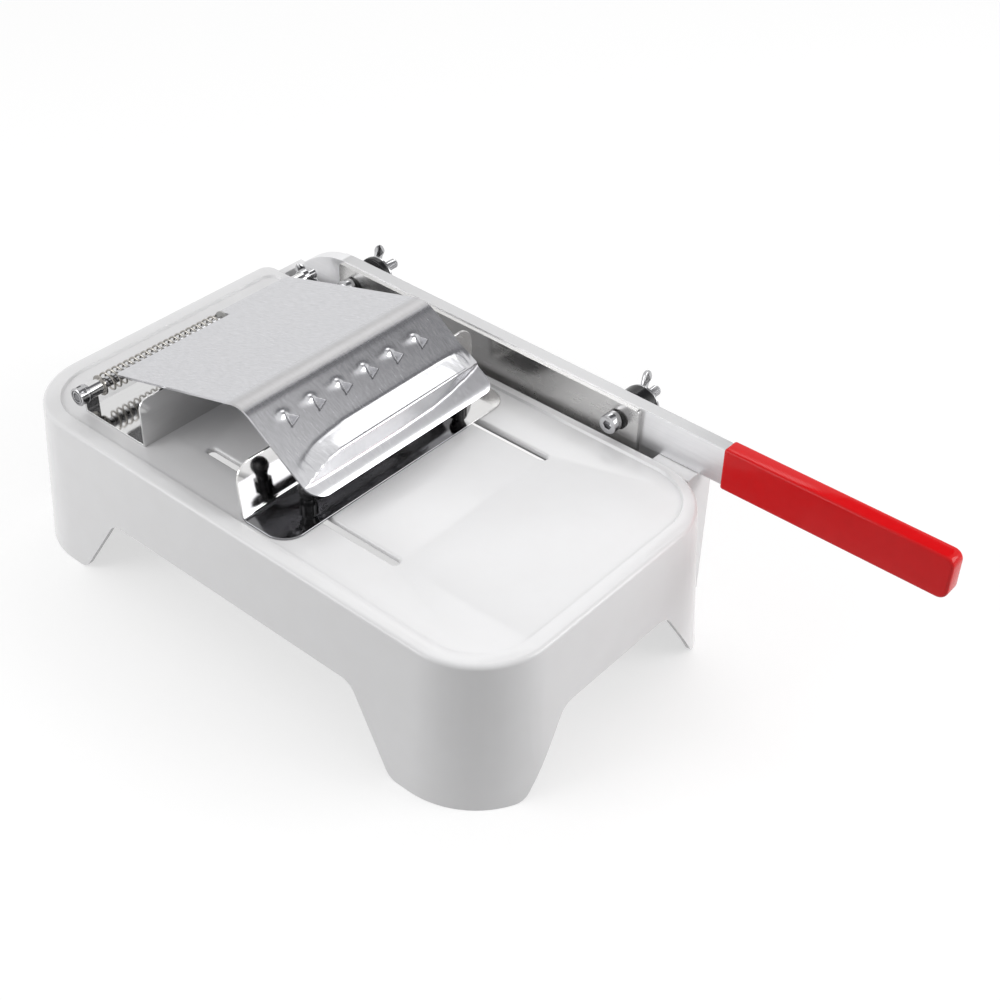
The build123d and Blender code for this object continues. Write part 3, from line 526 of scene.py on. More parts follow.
def pressed(across, row):
    """Where a point of the flat pattern goes: how far down the slope, and how high off it."""
    if row <= TEETH_BELOW:
        return Vector((row, 0))
    rise = through(LIP_RISE, across)
    corners = [
        Vector((TEETH_BELOW, 0)),
        Vector((through(FOLD_LINE, across), 0)),
        Vector((through(LIP_LINE, across), rise)),
        Vector((through(FOOT_LINE, across), 0)),
        Vector((PLATE_EDGE, -EDGE_DIP)),
    ]
    stops = (TEETH_BELOW, FOLD_ROW, LIP_ROW, FOOT_ROW, EDGE_ROW)
    part = max(i for i in range(4) if row >= stops[i] or i == 0)
    share = (row - stops[part]) / (stops[part + 1] - stops[part])
    start, end = corners[part], corners[part + 1]
    along = (end - start).length
    place = start + (end - start) * share
    if share > 0.5 and part < 3:
        place = eased_corner(start, end, corners[part + 2], -along * (1 - share), RIB_CORNERS[part])
    elif share <= 0.5 and part > 0:
        place = eased_corner(corners[part - 1], start, end, along * share, RIB_CORNERS[part - 1])
    if part == 1:
        swell = 4 * share * (1 - share)
        waves = math.sin((across - PLATE_RIGHT) * 1.3 + share * 5)
        crumple = DENT * waves * hump(across, CRUMPLE_PLACE, CRUMPLE_WIDTH)
        crease = DENT * hump(across, CREASE_PLACE, CREASE_WIDTH) * share
        place = place + Vector((0, (crumple + crease + RIB_BULGE * rise) * swell))
    if part == 3:
        place = place - Vector((0, DIP_GROWTH * max(place.x - DIP_FROM, 0) ** 2))
    return place


def tooth_height(across, row):
    """Height of the soft swelling on a punched tooth's upper left, and of the three-sided pit beside it."""
    nearest = min(tooth_places, key=lambda place: abs(across - place))
    x, s = across - nearest, row - TOOTH_ROW
    swelling = math.exp(-(((x - SWELL_ACROSS) / SWELL_WIDTH) ** 2) - ((s - SWELL_DOWN) / SWELL_LENGTH) ** 2)
    x, s = x - TOOTH_ACROSS, s - TOOTH_DOWN
    sides = [math.radians(TOOTH_TURN + side) for side in (150, 270, 30)]
    reach = 2 * max(x * math.cos(side) + s * math.sin(side) for side in sides)
    return swelling if reach > TOOTH_REACH else -PIT_DEPTH * min((TOOTH_REACH - reach) / PIT_WALL, 1.0)


print("lip rise at the middle", through(LIP_RISE, 100.0))


# %% Lay out the flat pattern
def spread(*runs):
    """Sorted places from (start, end, step) runs, with near-doubles taken out."""
    places = []
    for start, end, step in runs:
        count = max(1, round((end - start) / step))
        places += [start + (end - start) * i / count for i in range(count + 1)]
    kept = []
    for place in sorted(places):
        if not kept or place - kept[-1] > 0.24:
            kept.append(place)
    return kept


columns = spread(
    (PLATE_LEFT, 58.0, 0.5),
    (58.0, 62.0, 1.0),
    *((place - 5.5, place + 5.5, 0.5) for place in tooth_places),
    (62.0, BARREL_LEFT, 4.0),
    (BARREL_LEFT, 150.0, 4.0),
    (150.0, PLATE_RIGHT, 1.0),
)
BEND_Z, ROD_Y, ROD_Z, TOP_REACH = 138.8, 303.5, 103.5, 110.8
top_run = math.hypot(TOP_REACH, BEND_Z - ROD_Z)
BARREL_START = -math.sqrt(top_run**2 - BARREL_RADIUS**2)
BARREL_END = BARREL_START - BARREL_RADIUS * BARREL_TURN
rows = spread(
    (BARREL_END, BARREL_START, 1.2),
    (BARREL_START, REAR_EDGE, 5.0),
    (REAR_EDGE, -8.5, 9.0),
    (-8.5, 8.5, 1.0),
    (8.5, TEETH_BELOW, 0.5),
    (TEETH_BELOW, 32.0, 2.4),
    (32.0, 37.0, 0.5),
    (37.0, 52.0, 1.5),
    (52.0, 56.0, 0.4),
    (56.0, 62.0, 1.5),
    (62.0, 66.0, 0.4),
    (66.0, 69.0, 1.5),
    (69.0, EDGE_ROW, 0.6),
)


def lay_out(places_across, places_down):
    """A flat grid with a vertex at every crossing of two lists of places."""
    grid = bmesh.new()
    bmesh.ops.create_grid(grid, x_segments=len(places_across) - 1, y_segments=len(places_down) - 1, size=0.5)
    for vert in grid.verts:
        across = places_across[round((vert.co.x + 0.5) * (len(places_across) - 1))]
        row = places_down[round((vert.co.y + 0.5) * (len(places_down) - 1))]
        vert.co = Vector((across, row, 0))
    return grid


sheet = lay_out(columns, rows)
middles = {face: face.calc_center_median() for face in sheet.faces}
gone = [face for face, middle in middles.items() if middle.y < REAR_EDGE and middle.x < BARREL_LEFT]
bmesh.ops.delete(sheet, geom=gone, context="FACES")
print("pattern", len(columns), "by", len(rows))

# %% Press the pattern
for vert in sheet.verts:
    place = pressed(vert.co.x, vert.co.y)
    by_teeth = TEETH_ABOVE < vert.co.y < TEETH_BELOW
    height = place.y + (tooth_height(vert.co.x, vert.co.y) if by_teeth else 0.0)
    vert.co = Vector((vert.co.x, place.x, height))
print("pressed", len(sheet.verts), "points")


# %% Round the pattern's corners
TAPER_FROM, TAPER_CUT = 160.0, 5.0
TAPER_ROW, TAPER_RUN = -107.9, 13.0


def round_corner(shape, corner, radius, way, reach, steps=7):
    """Trims one corner of the flat pattern with planes that touch a circle; way points out of the corner."""
    centre = Vector((corner[0] - way[0] * radius, corner[1] - way[1] * radius, 0))
    for step in range(1, steps):
        angle = math.pi / 2 * step / steps
        normal = Vector((way[0] * math.cos(angle), way[1] * math.sin(angle), 0))
        near = [f for f in shape.faces if (f.calc_center_median() - centre).length < reach]
        parts = set(near) | {e for f in near for e in f.edges} | {v for f in near for v in f.verts}
        edge = centre + normal * radius
        bmesh.ops.bisect_plane(shape, geom=list(parts), plane_co=edge, plane_no=normal, clear_outer=True)


round_corner(sheet, (PLATE_LEFT, PLATE_EDGE), radius=11.0, way=(-1, 1), reach=22.0)
round_corner(sheet, (PLATE_RIGHT, PLATE_EDGE), radius=7.0, way=(1, 1), reach=16.0)
round_corner(sheet, (PLATE_LEFT, REAR_EDGE), radius=3.0, way=(-1, -1), reach=12.0)
taper_width = PLATE_RIGHT - TAPER_FROM
for vert in sheet.verts:
    beyond = min(max((TAPER_ROW - vert.co.y) / TAPER_RUN, 0.0), 1.0)
    if vert.co.x > TAPER_FROM:
        kept_width = taper_width - TAPER_CUT * beyond**2
        vert.co.x = TAPER_FROM + (vert.co.x - TAPER_FROM) * kept_width / taper_width
print("after trimming", len(sheet.faces))

# %% Bend the pattern round its section
SLOPE_DROP, SLOPE_RUN = 35.1, 51.8
SLOPE_TILT = math.atan2(SLOPE_DROP, SLOPE_RUN)
TOP_TILT = math.atan2(BEND_Z - ROD_Z, TOP_REACH) - math.asin(BARREL_RADIUS / top_run)
BEND_RADIUS = 17.0
BEND_REACH = BEND_RADIUS * math.tan((SLOPE_TILT + TOP_TILT) / 2)
bend_corner = Vector((0, ROD_Y - TOP_REACH, BEND_Z))
rod_centre = Vector((0, ROD_Y, ROD_Z))


def standing(tilt):
    """The sheet's outward way where it is tilted by an angle."""
    return Vector((0, -math.sin(tilt), math.cos(tilt)))


def running(tilt):
    """The way down the sheet where it is tilted by an angle."""
    return Vector((0, -math.cos(tilt), -math.sin(tilt)))


bend_centre = bend_corner + running(SLOPE_TILT) * BEND_REACH - standing(SLOPE_TILT) * BEND_RADIUS


def bent(down, height):
    """The point of the bent sheet for a distance down the pattern and a height off it."""
    if down > BEND_REACH:
        return bend_corner + running(SLOPE_TILT) * down + standing(SLOPE_TILT) * height
    if down > -BEND_REACH:
        share = (BEND_REACH - down) / (2 * BEND_REACH)
        tilt = SLOPE_TILT - share * (SLOPE_TILT + TOP_TILT)
        return bend_centre + standing(tilt) * (BEND_RADIUS + height)
    if down > BARREL_START:
        return bend_corner + running(-TOP_TILT) * down + standing(-TOP_TILT) * height
    turn = (BARREL_START - down) / BARREL_RADIUS
    return rod_centre + standing(-TOP_TILT - turn) * (BARREL_RADIUS + height)


def thickened(shape, above, thickness):
    """Thickens a sheet to the side away from its upper one, found at the face nearest to a point."""
    bmesh.ops.recalc_face_normals(shape, faces=shape.faces)
    nearest = min(shape.faces, key=lambda face: (face.calc_center_median() - above).length)
    if nearest.normal.z < 0:
        bmesh.ops.reverse_faces(shape, faces=shape.faces)
    bmesh.ops.solidify(shape, geom=list(shape.faces), thickness=thickness * MM)


for vert in sheet.verts:
    place = bent(vert.co.y, vert.co.z)
    vert.co = spot(vert.co.x, place.y, place.z)
thickened(sheet, spot(100, 240, 126), PLATE_SHEET)
print("sheet", len(sheet.faces), "faces")

# %% Shells of the teeth, with painted shade on their outer rims
sheet.verts.layers.float.new("tooth_rim_shade")
for place in tooth_places:
    tooth = bmesh.new()
    tooth_rim_shade = tooth.verts.layers.float.new("tooth_rim_shade")
    floor_edges = first_ring(tooth, 3, SHELL_FLOOR, filled=True)
    turn = Matrix.Rotation(math.radians(TOOTH_TURN), 3, "Z")
    bmesh.ops.rotate(tooth, cent=(0, 0, 0), matrix=turn, verts=tooth.verts)
    bmesh.ops.translate(tooth, vec=(0, 0, -SHELL_DEPTH * MM), verts=tooth.verts)
    draw_rings(tooth, floor_edges, SHELL_FLOOR, SHELL_RINGS)
    for vert in tooth.verts:
        lean = min(max((vert.co.y / MM + SHELL_REACH) / (2 * SHELL_REACH), 0.0), 1.0)
        outside = vert.co.to_2d().length > SHELL_OUTSIDE * MM
        vert[tooth_rim_shade] = min(RIM_SHADE_GAIN * lean, 1.0) if outside else 0.0
        vert.co.z *= SHELL_HIGH - SHELL_FALL * lean if vert.co.z > 0 else 1.0
        where = bent(TOOTH_ROW + TOOTH_DOWN + vert.co.y / MM, vert.co.z / MM)
        vert.co = spot(place + TOOTH_ACROSS + vert.co.x / MM, where.y, where.z)
    bmesh.ops.recalc_face_normals(tooth, faces=tooth.faces)
    take_in(sheet, tooth)
zs = [v.co.z for v in sheet.verts]
print("plate heights", round(min(zs) / MM, 1), round(max(zs) / MM, 1), "faces", len(sheet.faces))
press_plate = finish_piece(
    "press_plate_sheet", sheet, plate_steel, "press_plate", "plate", "press_plate", crisp=28.0
)
worn(press_plate, "worn rim", 0.28, 40)

# %% [markdown]
# ## Fence
# The fence is a polished sheet: a foot that lies on the deck and an upstand that leans back a little, with a
# round bend between them. It is drawn flat like the press plate: the corners are rounded, the part that would
# stand in the deck's raised rim is cut off, and the pattern is bent and thickened.

# %% Fence sheet
FENCE_LEFT, FENCE_RIGHT, FENCE_RIGHT_HIGH = 12.0, 184.0, 188.0
FENCE_FRONT, FENCE_CORNER, FENCE_SHEET = 140.8, 171.2, 1.2
FENCE_LEAN = math.radians(5.0)
FENCE_ROUND = 3.0
FENCE_TOP = DECK + 32.6
foot_level = DECK + FENCE_SHEET
tangent = FENCE_ROUND * math.tan((math.pi / 2 - FENCE_LEAN) / 2)
foot_run = FENCE_CORNER - FENCE_FRONT - tangent
bend_run = FENCE_ROUND * (math.pi / 2 - FENCE_LEAN)
fence_run = foot_run + bend_run + (FENCE_TOP - foot_level) / math.cos(FENCE_LEAN) - tangent
STEP_RISE = 1.2
step_row = foot_run + bend_run + STEP_RISE
fence_columns = spread(
    (FENCE_LEFT, 26.0, 3.5),
    (26.0, 170.0, 24.0),
    (170.0, FENCE_RIGHT, 3.5),
    (FENCE_RIGHT, FENCE_RIGHT_HIGH, 2.0),
)
fence_rows = spread(
    (0, foot_run, 6.0),
    (foot_run, foot_run + bend_run, 0.45),
    (foot_run + bend_run, step_row, 1.2),
    (step_row, fence_run, 6.0),
)


def fence_bent(run):
    """Where a distance along the fence's pattern lies in the side view."""
    if run < foot_run:
        return FENCE_FRONT + run, foot_level
    if run < foot_run + bend_run:
        turn = (run - foot_run) / FENCE_ROUND
        forth, up = FENCE_ROUND * math.sin(turn), FENCE_ROUND * (1 - math.cos(turn))
        return FENCE_FRONT + foot_run + forth, foot_level + up
    rise = run - foot_run - bend_run + tangent
    return FENCE_CORNER + math.sin(FENCE_LEAN) * rise, foot_level + math.cos(FENCE_LEAN) * rise


fence = lay_out(fence_columns, fence_rows)
middles = {face: face.calc_center_median() for face in fence.faces}
low_right = [face for face, middle in middles.items() if middle.x > FENCE_RIGHT and middle.y < step_row]
bmesh.ops.delete(fence, geom=low_right, context="FACES")
round_corner(fence, (FENCE_LEFT, 0), radius=13.0, way=(-1, -1), reach=30.0)
round_corner(fence, (FENCE_RIGHT, 0), radius=13.0, way=(1, -1), reach=30.0)
round_corner(fence, (FENCE_LEFT, fence_run), radius=10.0, way=(-1, 1), reach=26.0)
round_corner(fence, (FENCE_RIGHT_HIGH, fence_run), radius=9.0, way=(1, 1), reach=26.0)
for vert in fence.verts:
    y, z = fence_bent(vert.co.y)
    vert.co = spot(vert.co.x, y, z)
thickened(fence, spot(100, 150, foot_level), FENCE_SHEET)
fence_piece = finish_piece(
    "fence_sheet", fence, fence_steel, body_of["fence_plate"], slot_of["fence_plate"], "fence_plate"
)
worn(fence_piece, "worn rim", 0.3, 60)

# %% [markdown]
# ## Socket head bolts
# The bolts through the lever have a round head with a hexagon socket. The head's face is bridged between a
# circle and a hexagon cut into as many edges; the hexagon is pushed in, and the circle is drawn out into the
# head, the shank and the thread's ridges.


# %% Turned shapes
def turned_to(shape, way, place):
    """Turns a shape made along z so that its top faces a way, and moves it to its place."""
    turn = Vector((0, 0, 1)).rotation_difference(way).to_matrix()
    bmesh.ops.rotate(shape, cent=(0, 0, 0), matrix=turn, verts=shape.verts)
    bmesh.ops.translate(shape, vec=place, verts=shape.verts)
    bmesh.ops.recalc_face_normals(shape, faces=shape.faces)


THREAD_RADIUS, THREAD_DEPTH, THREAD_PITCH, THREAD_LENGTH = 2.98, 0.42, 1.0, 16.0
SOCKET_RADIUS, SOCKET_BOTTOM = 2.85, ((2.75, -0.15), (2.75, -3.2))
HEAD_FACE = 5.0
HEAD_RINGS = ((5.35, -0.1), (5.5, -0.4), (5.5, -6.8), (5.3, -7.0), (THREAD_RADIUS, -7.0))
BOLT_HEAD, BOLT_TAIL = 188.0, 233.5
FRONT_BOLT = (76.2, 100.6)
PIVOT_BOLT = (276.0, 101.9)


def thread(start, end):
    """A profile of ridges, as rings along a bolt between two heights."""
    rings = []
    for i in range(round((start - end) / THREAD_PITCH)):
        level = start - i * THREAD_PITCH
        rings.append((THREAD_RADIUS, level - 0.15 * THREAD_PITCH))
        rings.append((THREAD_RADIUS - THREAD_DEPTH, level - 0.5 * THREAD_PITCH))
        rings.append((THREAD_RADIUS, level - 0.85 * THREAD_PITCH))
    return rings


def socket_bolt(name, y, z):
    """A socket head bolt whose head faces the food and whose threaded tail stands out on the far side."""
    shape = bmesh.new()
    rim_edges = first_ring(shape, 48, HEAD_FACE)
    hex_edges = first_ring(shape, 6, SOCKET_RADIUS)
    bmesh.ops.subdivide_edges(shape, edges=hex_edges, cuts=7)
    hex_edges = [e for e in shape.edges if e not in rim_edges]
    bmesh.ops.bridge_loops(shape, edges=rim_edges + hex_edges)
    draw_rings(shape, hex_edges, SOCKET_RADIUS, SOCKET_BOTTOM)
    end = BOLT_HEAD - BOLT_TAIL
    ridges = thread(end + THREAD_LENGTH, end + 1.0)
    rings = (*HEAD_RINGS, (THREAD_RADIUS, end + THREAD_LENGTH), *ridges, (2.6, end + 0.3), (2.3, end))
    draw_rings(shape, rim_edges, HEAD_FACE, rings)
    turned_to(shape, Vector((-1, 0, 0)), spot(BOLT_HEAD, y, z))
    finish_piece(f"{name}_turned", shape, plated, body_of[name], "hardware", name, crisp=40.0)


socket_bolt("front_bolt", *FRONT_BOLT)
socket_bolt("pivot_bolt", *PIVOT_BOLT)

# %% [markdown]
# ## Sleeve nut
# The guide rod ends in a round capped nut with small windows in its side. The cap is drawn ring by ring, and
# some of its side faces are inset and pushed in.

# %% Capped nut with windows
CAP_SOCKET, CAP_DEPTH = 2.8, 2.0
WINDOW_TOP, WINDOW_BOTTOM, CAP_SIDE = -1.2, -4.8, 4.6
cap = bmesh.new()
cap_edges = first_ring(cap, 24, CAP_SOCKET)
draw_rings(cap, cap_edges, CAP_SOCKET, ((CAP_SOCKET, -CAP_DEPTH),))
cap_profile = (
    (3.4, 0.0),
    (3.5, -0.7),
    (4.1, -0.7),
    (4.2, 0.0),
    (5.0, 0.0),
    (5.3, -0.3),
    (5.3, -1.0),
    (5.2, -1.2),
    (5.2, -4.8),
    (5.3, -5.0),
    (5.3, -6.0),
    (4.9, -6.4),
    (4.9, -7.2),
)
draw_rings(cap, cap_edges, CAP_SOCKET, cap_profile)
windows = []
for face in cap.faces:
    middle = face.calc_center_median() / MM
    on_side = WINDOW_BOTTOM < middle.z < WINDOW_TOP and middle.to_2d().length > CAP_SIDE
    step = round(math.degrees(math.atan2(middle.y, middle.x)) / 15 - 0.5)
    if on_side and step % 4 < 2:
        windows.append(face)
for inset, push in ((0.45, 0.0), (0.05, -1.6)):
    bmesh.ops.inset_region(
        cap, faces=windows, thickness=inset * MM, depth=push * MM, use_boundary=True, use_even_offset=True
    )
turned_to(cap, Vector((-1, 0, 0)), spot(11.8, 301.8, ROD_Z))
finish_piece(
    "rod_sleeve_cap", cap, plated, body_of["rod_sleeve_nut"], "hardware", "rod_sleeve_nut", crisp=25.0
)

# %% [markdown]
# ## Feed spring
# The plate slides to the left against a coil spring, which is pressed together between its washer and the
# slide bush. The coil is a copy of the construction spring, with a mesh of its own.

# %% Copy of the coil
coil_shape = bmesh.new()
coil_shape.from_mesh(nodes["feed_spring"].data)
bmesh.ops.remove_doubles(coil_shape, verts=coil_shape.verts, dist=WELD)
coil_body = body_of["feed_spring"]
coil = finish_piece(
    "feed_spring_coil", coil_shape, spring_steel, coil_body, "hardware", "feed_spring", crisp=60.0
)
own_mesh(coil)

# %% [markdown]
# ## Outlines made thick
# The ears of the wing nuts and the grip are drawn as a flat outline. Some of its corners are rounded, and the
# outline is thickened and bevelled all round.


# %% Thick outlines
def padded(outline, corners, corner_round, corner_steps, way, edge_round, edge_steps):
    """A solid from a flat outline, of which some corners are rounded, thickened along a way and bevelled."""
    shape = bmesh.new()
    verts = [shape.verts.new(point) for point in outline]
    shape.faces.new(verts)
    rounded(shape, "VERTICES", verts[corners], corner_round, corner_steps)
    grown = bmesh.ops.extrude_face_region(shape, geom=list(shape.faces))["geom"]
    moved = [v for v in grown if isinstance(v, bmesh.types.BMVert)]
    bmesh.ops.translate(shape, vec=way, verts=moved)
    bmesh.ops.recalc_face_normals(shape, faces=shape.faces)
    sharp = [e for e in shape.edges if e.calc_face_angle(0) > 1.0]
    rounded(shape, "EDGES", sharp, edge_round, edge_steps)
    return shape


# %% [markdown]
# ## Wing nuts
# A wing nut is a tapered hub with two ears. The hub is drawn ring by ring. The second ear is the first,
# turned by half a turn.

# %% Hub and ears
NUT_BORE = 3.0
EAR_THICK = 2.3
NUT_PLACE = 218.2
LARGE_NUT = {"hub": 5.4, "hub_top": 4.4, "length": 6.0, "span": 29.0, "rise": 12.0}
SMALL_NUT = {"hub": 4.4, "hub_top": 4.4, "length": 4.5, "span": 19.0, "rise": 8.0}


def wing_nut(node, place, turn, hub, hub_top, length, span, rise):
    """A wing nut whose hub sits at a place, its axis along x, its ears turned about that axis by degrees."""
    shape = bmesh.new()
    base_edges = first_ring(shape, 36, NUT_BORE)
    hub_profile = (
        (hub - 0.4, 0.0),
        (hub, 0.4),
        (hub_top, length - 0.5),
        (hub_top - 0.5, length),
        (NUT_BORE + 0.2, length),
        (NUT_BORE, length - 0.6),
    )
    draw_rings(shape, base_edges, NUT_BORE, hub_profile)
    outline = (
        (0.6, 0.8),
        (hub * 0.9, 0.8),
        (span / 2, rise - 4.6),
        (span / 2 - 0.6, rise),
        (span / 2 - 6.2, rise),
        (span / 2 - 6.6, rise - 3.4),
        (hub_top * 0.7, length - 0.6),
        (0.6, length - 0.8),
    )
    points = [(y * MM, -EAR_THICK / 2 * MM, z * MM) for y, z in outline]
    for half_turns in (0, 1):
        ear = padded(
            points,
            slice(2, 6),
            corner_round=2.3,
            corner_steps=5,
            way=(0, EAR_THICK * MM, 0),
            edge_round=0.6,
            edge_steps=3,
        )
        other_side = Matrix.Rotation(half_turns * math.pi, 3, "Z")
        bmesh.ops.rotate(ear, cent=(0, 0, 0), matrix=other_side, verts=ear.verts)
        take_in(shape, ear)
    across = Vector((0, math.cos(math.radians(turn)), math.sin(math.radians(turn))))
    axial = Vector((1, 0, 0))
    turning = Matrix((across, axial.cross(across), axial)).transposed()
    bmesh.ops.rotate(shape, cent=(0, 0, 0), matrix=turning, verts=shape.verts)
    bmesh.ops.translate(shape, vec=place, verts=shape.verts)
    bmesh.ops.recalc_face_normals(shape, faces=shape.faces)
    finish_piece(f"{node}_cast", shape, plated, body_of[node], "hardware", node, crisp=40.0)


wing_nut("front_wing_nut", spot(NUT_PLACE, *FRONT_BOLT), 73, **LARGE_NUT)
wing_nut("pivot_wing_nut", spot(NUT_PLACE, *PIVOT_BOLT), 52, **LARGE_NUT)
wing_nut("rod_wing_nut", spot(180.0, ROD_Y, ROD_Z), 25, **SMALL_NUT)

# %% [markdown]
# ## Grip
# The grip is soft plastic dipped over the bar, so all its edges are round and its end is a rounded rectangle.
# Its side outline is drawn, its two end corners rounded, and the outline is made thick.

# %% Dipped grip
grip_low, grip_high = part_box("grip")
grip_outline = [
    (grip_low.x, grip_high.y, grip_low.z),
    (grip_low.x, grip_low.y, grip_low.z),
    (grip_low.x, grip_low.y, grip_high.z),
    (grip_low.x, grip_high.y, grip_high.z),
]
grip_way = (grip_high.x - grip_low.x, 0, 0)
grip_shape = padded(
    grip_outline, slice(1, 3), corner_round=5.5, corner_steps=8, way=grip_way, edge_round=1.7, edge_steps=5
)
finish_piece("grip_dipped", grip_shape, grip_red, body_of["grip"], "grip", "grip", crisp=50.0)

# %% [markdown]
# ## Studio
# The object stands on a floor that the camera sees as white, with a faint shadow. Steel shows what surrounds
# it, so the studio is built for its reflections: the floor and the world are darker towards the camera, three
# large soft lamps stand behind on the right, on the left and in front, and a grey card in front on the right
# is what the plate's slope mirrors.


# %% Cards
def flat_card(name, centre, size, facing, dress):
    """A flat rectangle that belongs to the studio, facing a way."""
    shape = bmesh.new()
    bmesh.ops.create_grid(shape, x_segments=1, y_segments=1, size=0.5)
    bmesh.ops.scale(shape, vec=(size[0], size[1], 1), verts=shape.verts)
    turn = facing.to_track_quat("Z", "Y").to_matrix()
    bmesh.ops.rotate(shape, cent=(0, 0, 0), matrix=turn, verts=shape.verts)
    bmesh.ops.translate(shape, vec=centre, verts=shape.verts)
    mesh = bpy.data.meshes.new(name)
    shape.to_mesh(mesh)
    shape.free()
    card = bpy.data.objects.new(name, mesh)
    bpy.context.scene.collection.objects.link(card)
    card.data.materials.append(dress.material)
    return card


# %% Floor that shows white
VIEWER_WAY = (-0.77, -0.64)
# Where the floor under the object gets painted shade for bounced light: each pair runs from not at all to
# fully
UNDER_LEFT, UNDER_RIGHT = (-0.115, -0.085), (0.105, 0.085)
UNDER_FRONT, UNDER_REAR = (-0.12, -0.09), (0.24, 0.21)
floor_white = Finish("studio_floor", base_color=(0.80, 0.80, 0.80), roughness=0.9, specular_ior_level=0.0)
rays = floor_white.node("ShaderNodeLightPath", {}, {})
seen = rays[0] + rays[3] + rays[6]
floor_x, floor_y, _ = floor_white.axes()
towards = floor_white.band(floor_x * VIEWER_WAY[0] + floor_y * VIEWER_WAY[1], 0.05, 0.5)
beside = floor_white.band(floor_x, *UNDER_LEFT) * floor_white.band(floor_x, *UNDER_RIGHT)
painted_under_shade = beside * floor_white.band(floor_y, *UNDER_FRONT) * floor_white.band(floor_y, *UNDER_REAR)
open_floor = floor_white.blend(towards, (0.62, 0.62, 0.62), (0.16, 0.16, 0.16))
bounced = floor_white.blend(painted_under_shade, open_floor, (0.04, 0.04, 0.04))
floor_white.set(
    base_color=floor_white.blend(seen, bounced, (0.42, 0.42, 0.42)),
    emission_strength=1.0,
    emission_color=floor_white.blend(seen, (0, 0, 0), (0.62, 0.62, 0.62)),
)
flat_card("floor", Vector((0, 0, -0.0002)), (30, 30), Vector((0, 0, 1)), floor_white)
print("floor and its", len(floor_white.tree.nodes), "nodes")

# %% World
world = bpy.data.worlds.new("studio")
bpy.context.scene.world = world
world.use_nodes = True
world_tree = world.node_tree
backdrop = world_tree.nodes["Background"]
paths = world_tree.nodes.new("ShaderNodeLightPath")
shown = world_tree.nodes.new("ShaderNodeMath")
shown.operation = "MAXIMUM"
world_tree.links.new(paths.outputs["Is Camera Ray"], shown.inputs[0])
world_tree.links.new(paths.outputs["Is Glossy Ray"], shown.inputs[1])
strength = world_tree.nodes.new("ShaderNodeMapRange")
strength.inputs["To Max"].default_value = 1.0
world_tree.links.new(shown.outputs[0], strength.inputs["Value"])
ways = world_tree.nodes.new("ShaderNodeTexCoord")
facing = world_tree.nodes.new("ShaderNodeVectorMath")
facing.operation = "DOT_PRODUCT"
facing.inputs[1].default_value = (*VIEWER_WAY, 0)
world_tree.links.new(ways.outputs["Generated"], facing.inputs[0])
dimmed = world_tree.nodes.new("ShaderNodeMapRange")
for socket, value in {"From Min": 0.3, "From Max": 0.95, "To Min": 0.72, "To Max": 0.10}.items():
    dimmed.inputs[socket].default_value = value
world_tree.links.new(facing.outputs["Value"], dimmed.inputs["Value"])
world_tree.links.new(dimmed.outputs[0], strength.inputs["To Min"])
world_tree.links.new(strength.outputs[0], backdrop.inputs["Strength"])
backdrop.inputs["Color"].default_value = (1, 1, 1, 1)
print("world nodes", len(world_tree.nodes))


# %% Lamps and card
def soft_lamp(name, place, aim, width, height, power):
    """An area lamp at a place, aimed at a point."""
    data = bpy.data.lights.new(name, "AREA")
    data.shape = "RECTANGLE"
    data.size = width
    data.size_y = height
    data.energy = power
    lamp = bpy.data.objects.new(name, data)
    bpy.context.scene.collection.objects.link(lamp)
    lamp.location = place
    lamp.rotation_euler = (aim - place).to_track_quat("-Z", "Y").to_euler()


def heading(bearing, height):
    """A way given by its bearing from x and its height over the ground, in degrees."""
    flat = math.cos(math.radians(height))
    turn = math.radians(bearing)
    return Vector((flat * math.cos(turn), flat * math.sin(turn), math.sin(math.radians(height))))


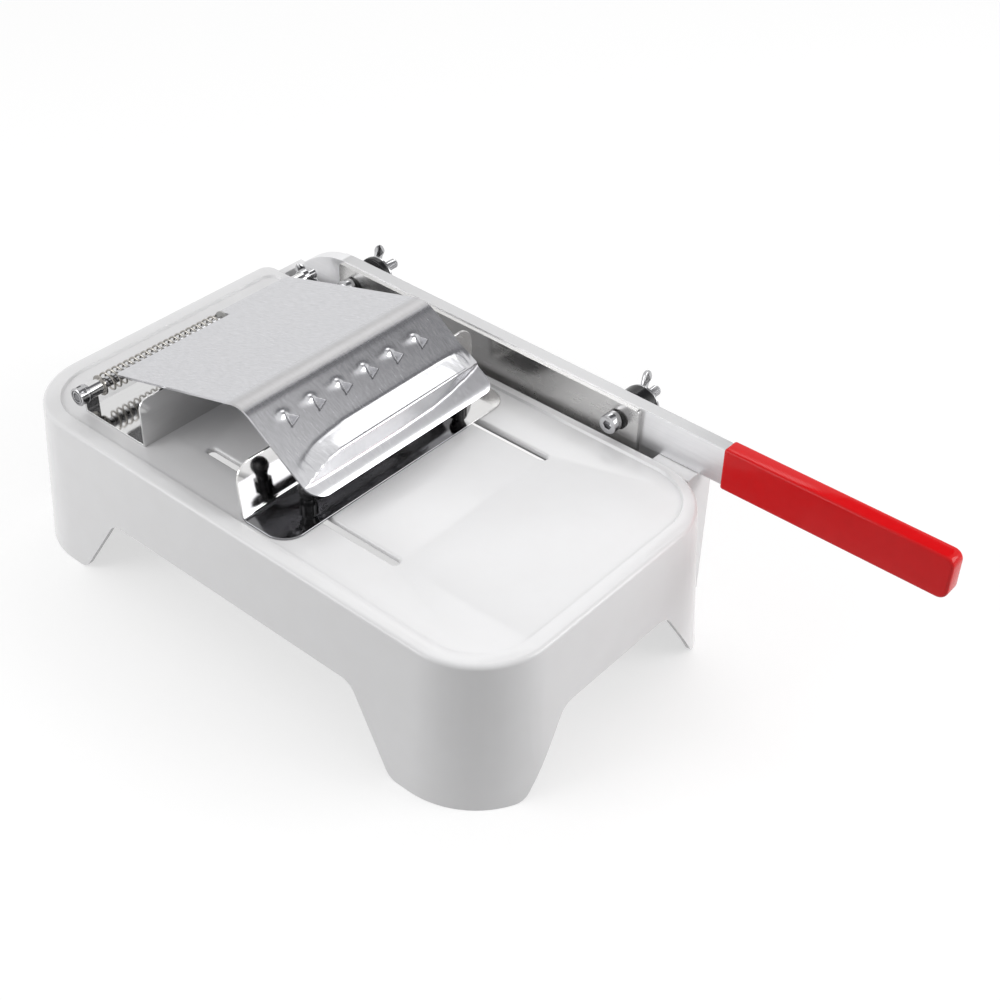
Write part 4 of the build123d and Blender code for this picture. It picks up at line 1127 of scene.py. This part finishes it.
CARD_DISTANCE, CARD_SIZE = 1.0, (0.93, 0.73)
target = spot(100, 180, 90)
soft_lamp("key", target + heading(32, 45) * 1.6, target, width=0.70, height=0.36, power=1.6)
soft_lamp("left", target + heading(150, 25) * 1.5, target, width=0.9, height=0.9, power=8.0)
soft_lamp("front", target + heading(-60, 25) * 1.5, target, width=0.8, height=0.8, power=9.0)
card_grey = Finish("grey_card", base_color=(0, 0, 0), roughness=1.0, specular_ior_level=0.0)
card_x, card_y, _ = card_grey.axes()
bearing = (card_y - target.y) / (card_x - target.x)
shade = card_grey.band(bearing, -0.82, -0.48)
card_grey.set(emission_strength=1.0, emission_color=card_grey.blend(shade, (1, 1, 1), (0.17, 0.17, 0.18)))
card_way = heading(-20, 54)
grey_card = flat_card("grey_card", target + card_way * CARD_DISTANCE, CARD_SIZE, -card_way, card_grey)
grey_card.visible_camera = False
grey_card.visible_diffuse = False
grey_card.visible_shadow = False
print("lamps and card aimed at", [round(c, 3) for c in target])

# %% [markdown]
# ## Camera
# The base's straight edges in the photograph fix the camera: its focal length, where it stood and how it was
# turned. It looks down by 39 degrees from the front left, and leans over a little.

# %% Camera
CAMERA_PLACE = (-390.48, -331.37, 610.66)
CAMERA_YAW = math.radians(-50.263)
CAMERA_PITCH = math.radians(38.611)
CAMERA_ROLL = math.radians(1.470)
CAMERA_LENS = 58.34
forward = Vector(
    (
        -math.sin(CAMERA_YAW) * math.cos(CAMERA_PITCH),
        math.cos(CAMERA_YAW) * math.cos(CAMERA_PITCH),
        -math.sin(CAMERA_PITCH),
    )
)
level = Vector((math.cos(CAMERA_YAW), math.sin(CAMERA_YAW), 0))
upright = level.cross(forward)
right = level * math.cos(CAMERA_ROLL) + upright * math.sin(CAMERA_ROLL)
up = upright * math.cos(CAMERA_ROLL) - level * math.sin(CAMERA_ROLL)
camera_data = bpy.data.cameras.new("camera")
camera_data.lens = CAMERA_LENS
camera_data.sensor_width = 36
camera_data.clip_start = 0.01
camera = bpy.data.objects.new("camera", camera_data)
bpy.context.scene.collection.objects.link(camera)
turned = Matrix((right, up, -forward)).transposed().to_4x4()
camera.matrix_world = Matrix.Translation(spot(*CAMERA_PLACE)) @ turned
bpy.context.scene.camera = camera
bpy.context.scene.view_settings.view_transform = "Standard"
